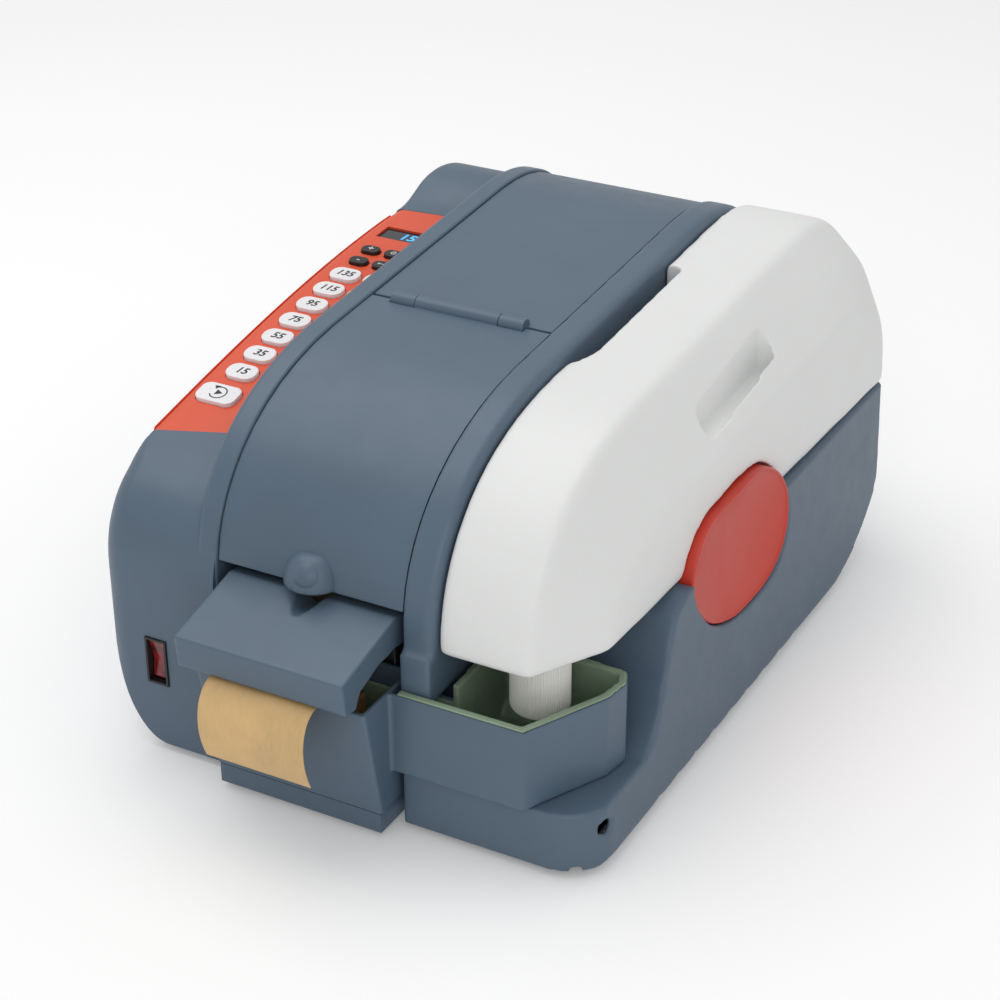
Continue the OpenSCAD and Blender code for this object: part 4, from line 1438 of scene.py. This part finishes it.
class DISPENSER_OT_stage(bpy.types.Operator):
    """Pale floor, soft lamps and the camera"""

    bl_idname = "dispenser.stage"
    bl_label = "Studio"

    def execute(self, context):
        self.floor()
        self.world(context)
        self.lamps()
        self.camera(context)
        context.scene.view_settings.view_transform = "Standard"
        return {"FINISHED"}

    def floor(self):
        bm = bmesh.new()
        bmesh.ops.create_grid(bm, x_segments=8, y_segments=8, size=6)
        mesh = as_mesh(bm, "floor")
        floor = scratch_object(mesh)
        floor.name = "floor"
        floor.location.z = cad_box[0].z - 0.05 * MM
        f = Finish("floor_paper")
        f.paint(f.blend(f.noise(3, 2), (0.93, 0.93, 0.93), (0.95, 0.95, 0.95)))
        f.set(Roughness=0.9)
        path = f.node("LightPath")
        glow = f.node("MapRange", **{"To Min": 0.0, "To Max": 0.14})
        f.link(path.outputs["Is Camera Ray"], glow.inputs["Value"])
        f.shader.inputs["Emission Color"].default_value = (1, 1, 1, 1)
        f.link(glow.outputs["Result"], f.shader.inputs["Emission Strength"])
        mesh.materials.append(f.material)

    def world(self, context):
        world = bpy.data.worlds.new("studio")
        world.use_nodes = True
        context.scene.world = world
        tree = world.node_tree
        backdrop = tree.nodes["Background"]
        backdrop.inputs["Color"].default_value = (1, 1, 1, 1)
        path = tree.nodes.new("ShaderNodeLightPath")
        seen = tree.nodes.new("ShaderNodeMath")
        seen.operation = "MAXIMUM"
        tree.links.new(path.outputs["Is Camera Ray"], seen.inputs[0])
        tree.links.new(path.outputs["Is Transmission Ray"], seen.inputs[1])
        level = tree.nodes.new("ShaderNodeMapRange")
        level.inputs["To Min"].default_value = 0.62
        level.inputs["To Max"].default_value = 1.0
        tree.links.new(seen.outputs[0], level.inputs["Value"])
        tree.links.new(level.outputs[0], backdrop.inputs["Strength"])

    def lamps(self):
        for name, place, size, power in (
            ("overhead", (-0.5, 0.1, 1.6), 1.4, 9.0),
            ("front", (0.9, -1.5, 1.0), 1.2, 5.0),
        ):
            lamp = bpy.data.lights.new(name, "AREA")
            lamp.shape = "SQUARE"
            lamp.size = size
            lamp.energy = power
            holder = bpy.data.objects.new(name, lamp)
            bpy.context.scene.collection.objects.link(holder)
            holder.location = place
            aim = Vector((0, 0, 0.1)) - Vector(place)
            holder.rotation_mode = "QUATERNION"
            holder.rotation_quaternion = aim.to_track_quat("-Z", "Y")

    def camera(self, context):
        azimuth = math.radians(28.73)
        elevation = math.radians(28.84)
        roll = math.radians(0.36)
        ahead = Vector(
            (
                -math.sin(azimuth) * math.cos(elevation),
                math.cos(azimuth) * math.cos(elevation),
                -math.sin(elevation),
            )
        )
        level_right = Vector((math.cos(azimuth), math.sin(azimuth), 0))
        level_down = -level_right.cross(ahead)
        right = level_right * math.cos(roll) + level_down * math.sin(roll)
        down = level_down * math.cos(roll) - level_right * math.sin(roll)
        data = bpy.data.cameras.new("camera")
        data.sensor_width = 36
        data.lens = data.sensor_width * 2.38499
        holder = bpy.data.objects.new("camera", data)
        bpy.context.scene.collection.objects.link(holder)
        turned = Matrix((right, -down, -ahead)).transposed().to_4x4()
        holder.matrix_world = Matrix.Translation(at(609.68, -786.09, 709.98)) @ turned
        context.scene.camera = holder


class DISPENSER_PT_sidebar(bpy.types.Panel):
    """Lists the pieces and what may be changed"""

    bl_label = "Tape dispenser"
    bl_idname = "DISPENSER_PT_sidebar"
    bl_space_type = "VIEW_3D"
    bl_region_type = "UI"
    bl_category = "Dispenser"

    def draw(self, context):
        for group in (context.scene.dispenser_sizes, context.scene.dispenser_colours):
            for key in group.bl_rna.properties.keys():
                if key not in ("rna_type", "name"):
                    self.layout.prop(group, key)
        for step in STEPS:
            self.layout.operator(step.bl_idname)


STEPS = (
    DISPENSER_OT_stage,
    DISPENSER_OT_casings,
    DISPENSER_OT_covers,
    DISPENSER_OT_panel,
    DISPENSER_OT_keys,
    DISPENSER_OT_bottle,
    DISPENSER_OT_tank,
    DISPENSER_OT_dish,
    DISPENSER_OT_tape,
    DISPENSER_OT_works,
)
CLASSES = (DispenserColours, DispenserSizes, *STEPS, DISPENSER_PT_sidebar)


def register():
    for cls in CLASSES:
        bpy.utils.register_class(cls)
    bpy.types.Scene.dispenser_colours = bpy.props.PointerProperty(type=DispenserColours)
    bpy.types.Scene.dispenser_sizes = bpy.props.PointerProperty(type=DispenserSizes)


def unregister():
    del bpy.types.Scene.dispenser_sizes
    del bpy.types.Scene.dispenser_colours
    for cls in reversed(CLASSES):
        bpy.utils.unregister_class(cls)


def main():
    register()
    for step in STEPS:
        group, name = step.bl_idname.split(".")
        getattr(getattr(bpy.ops, group), name)()


if __name__ == "__main__":
    main()
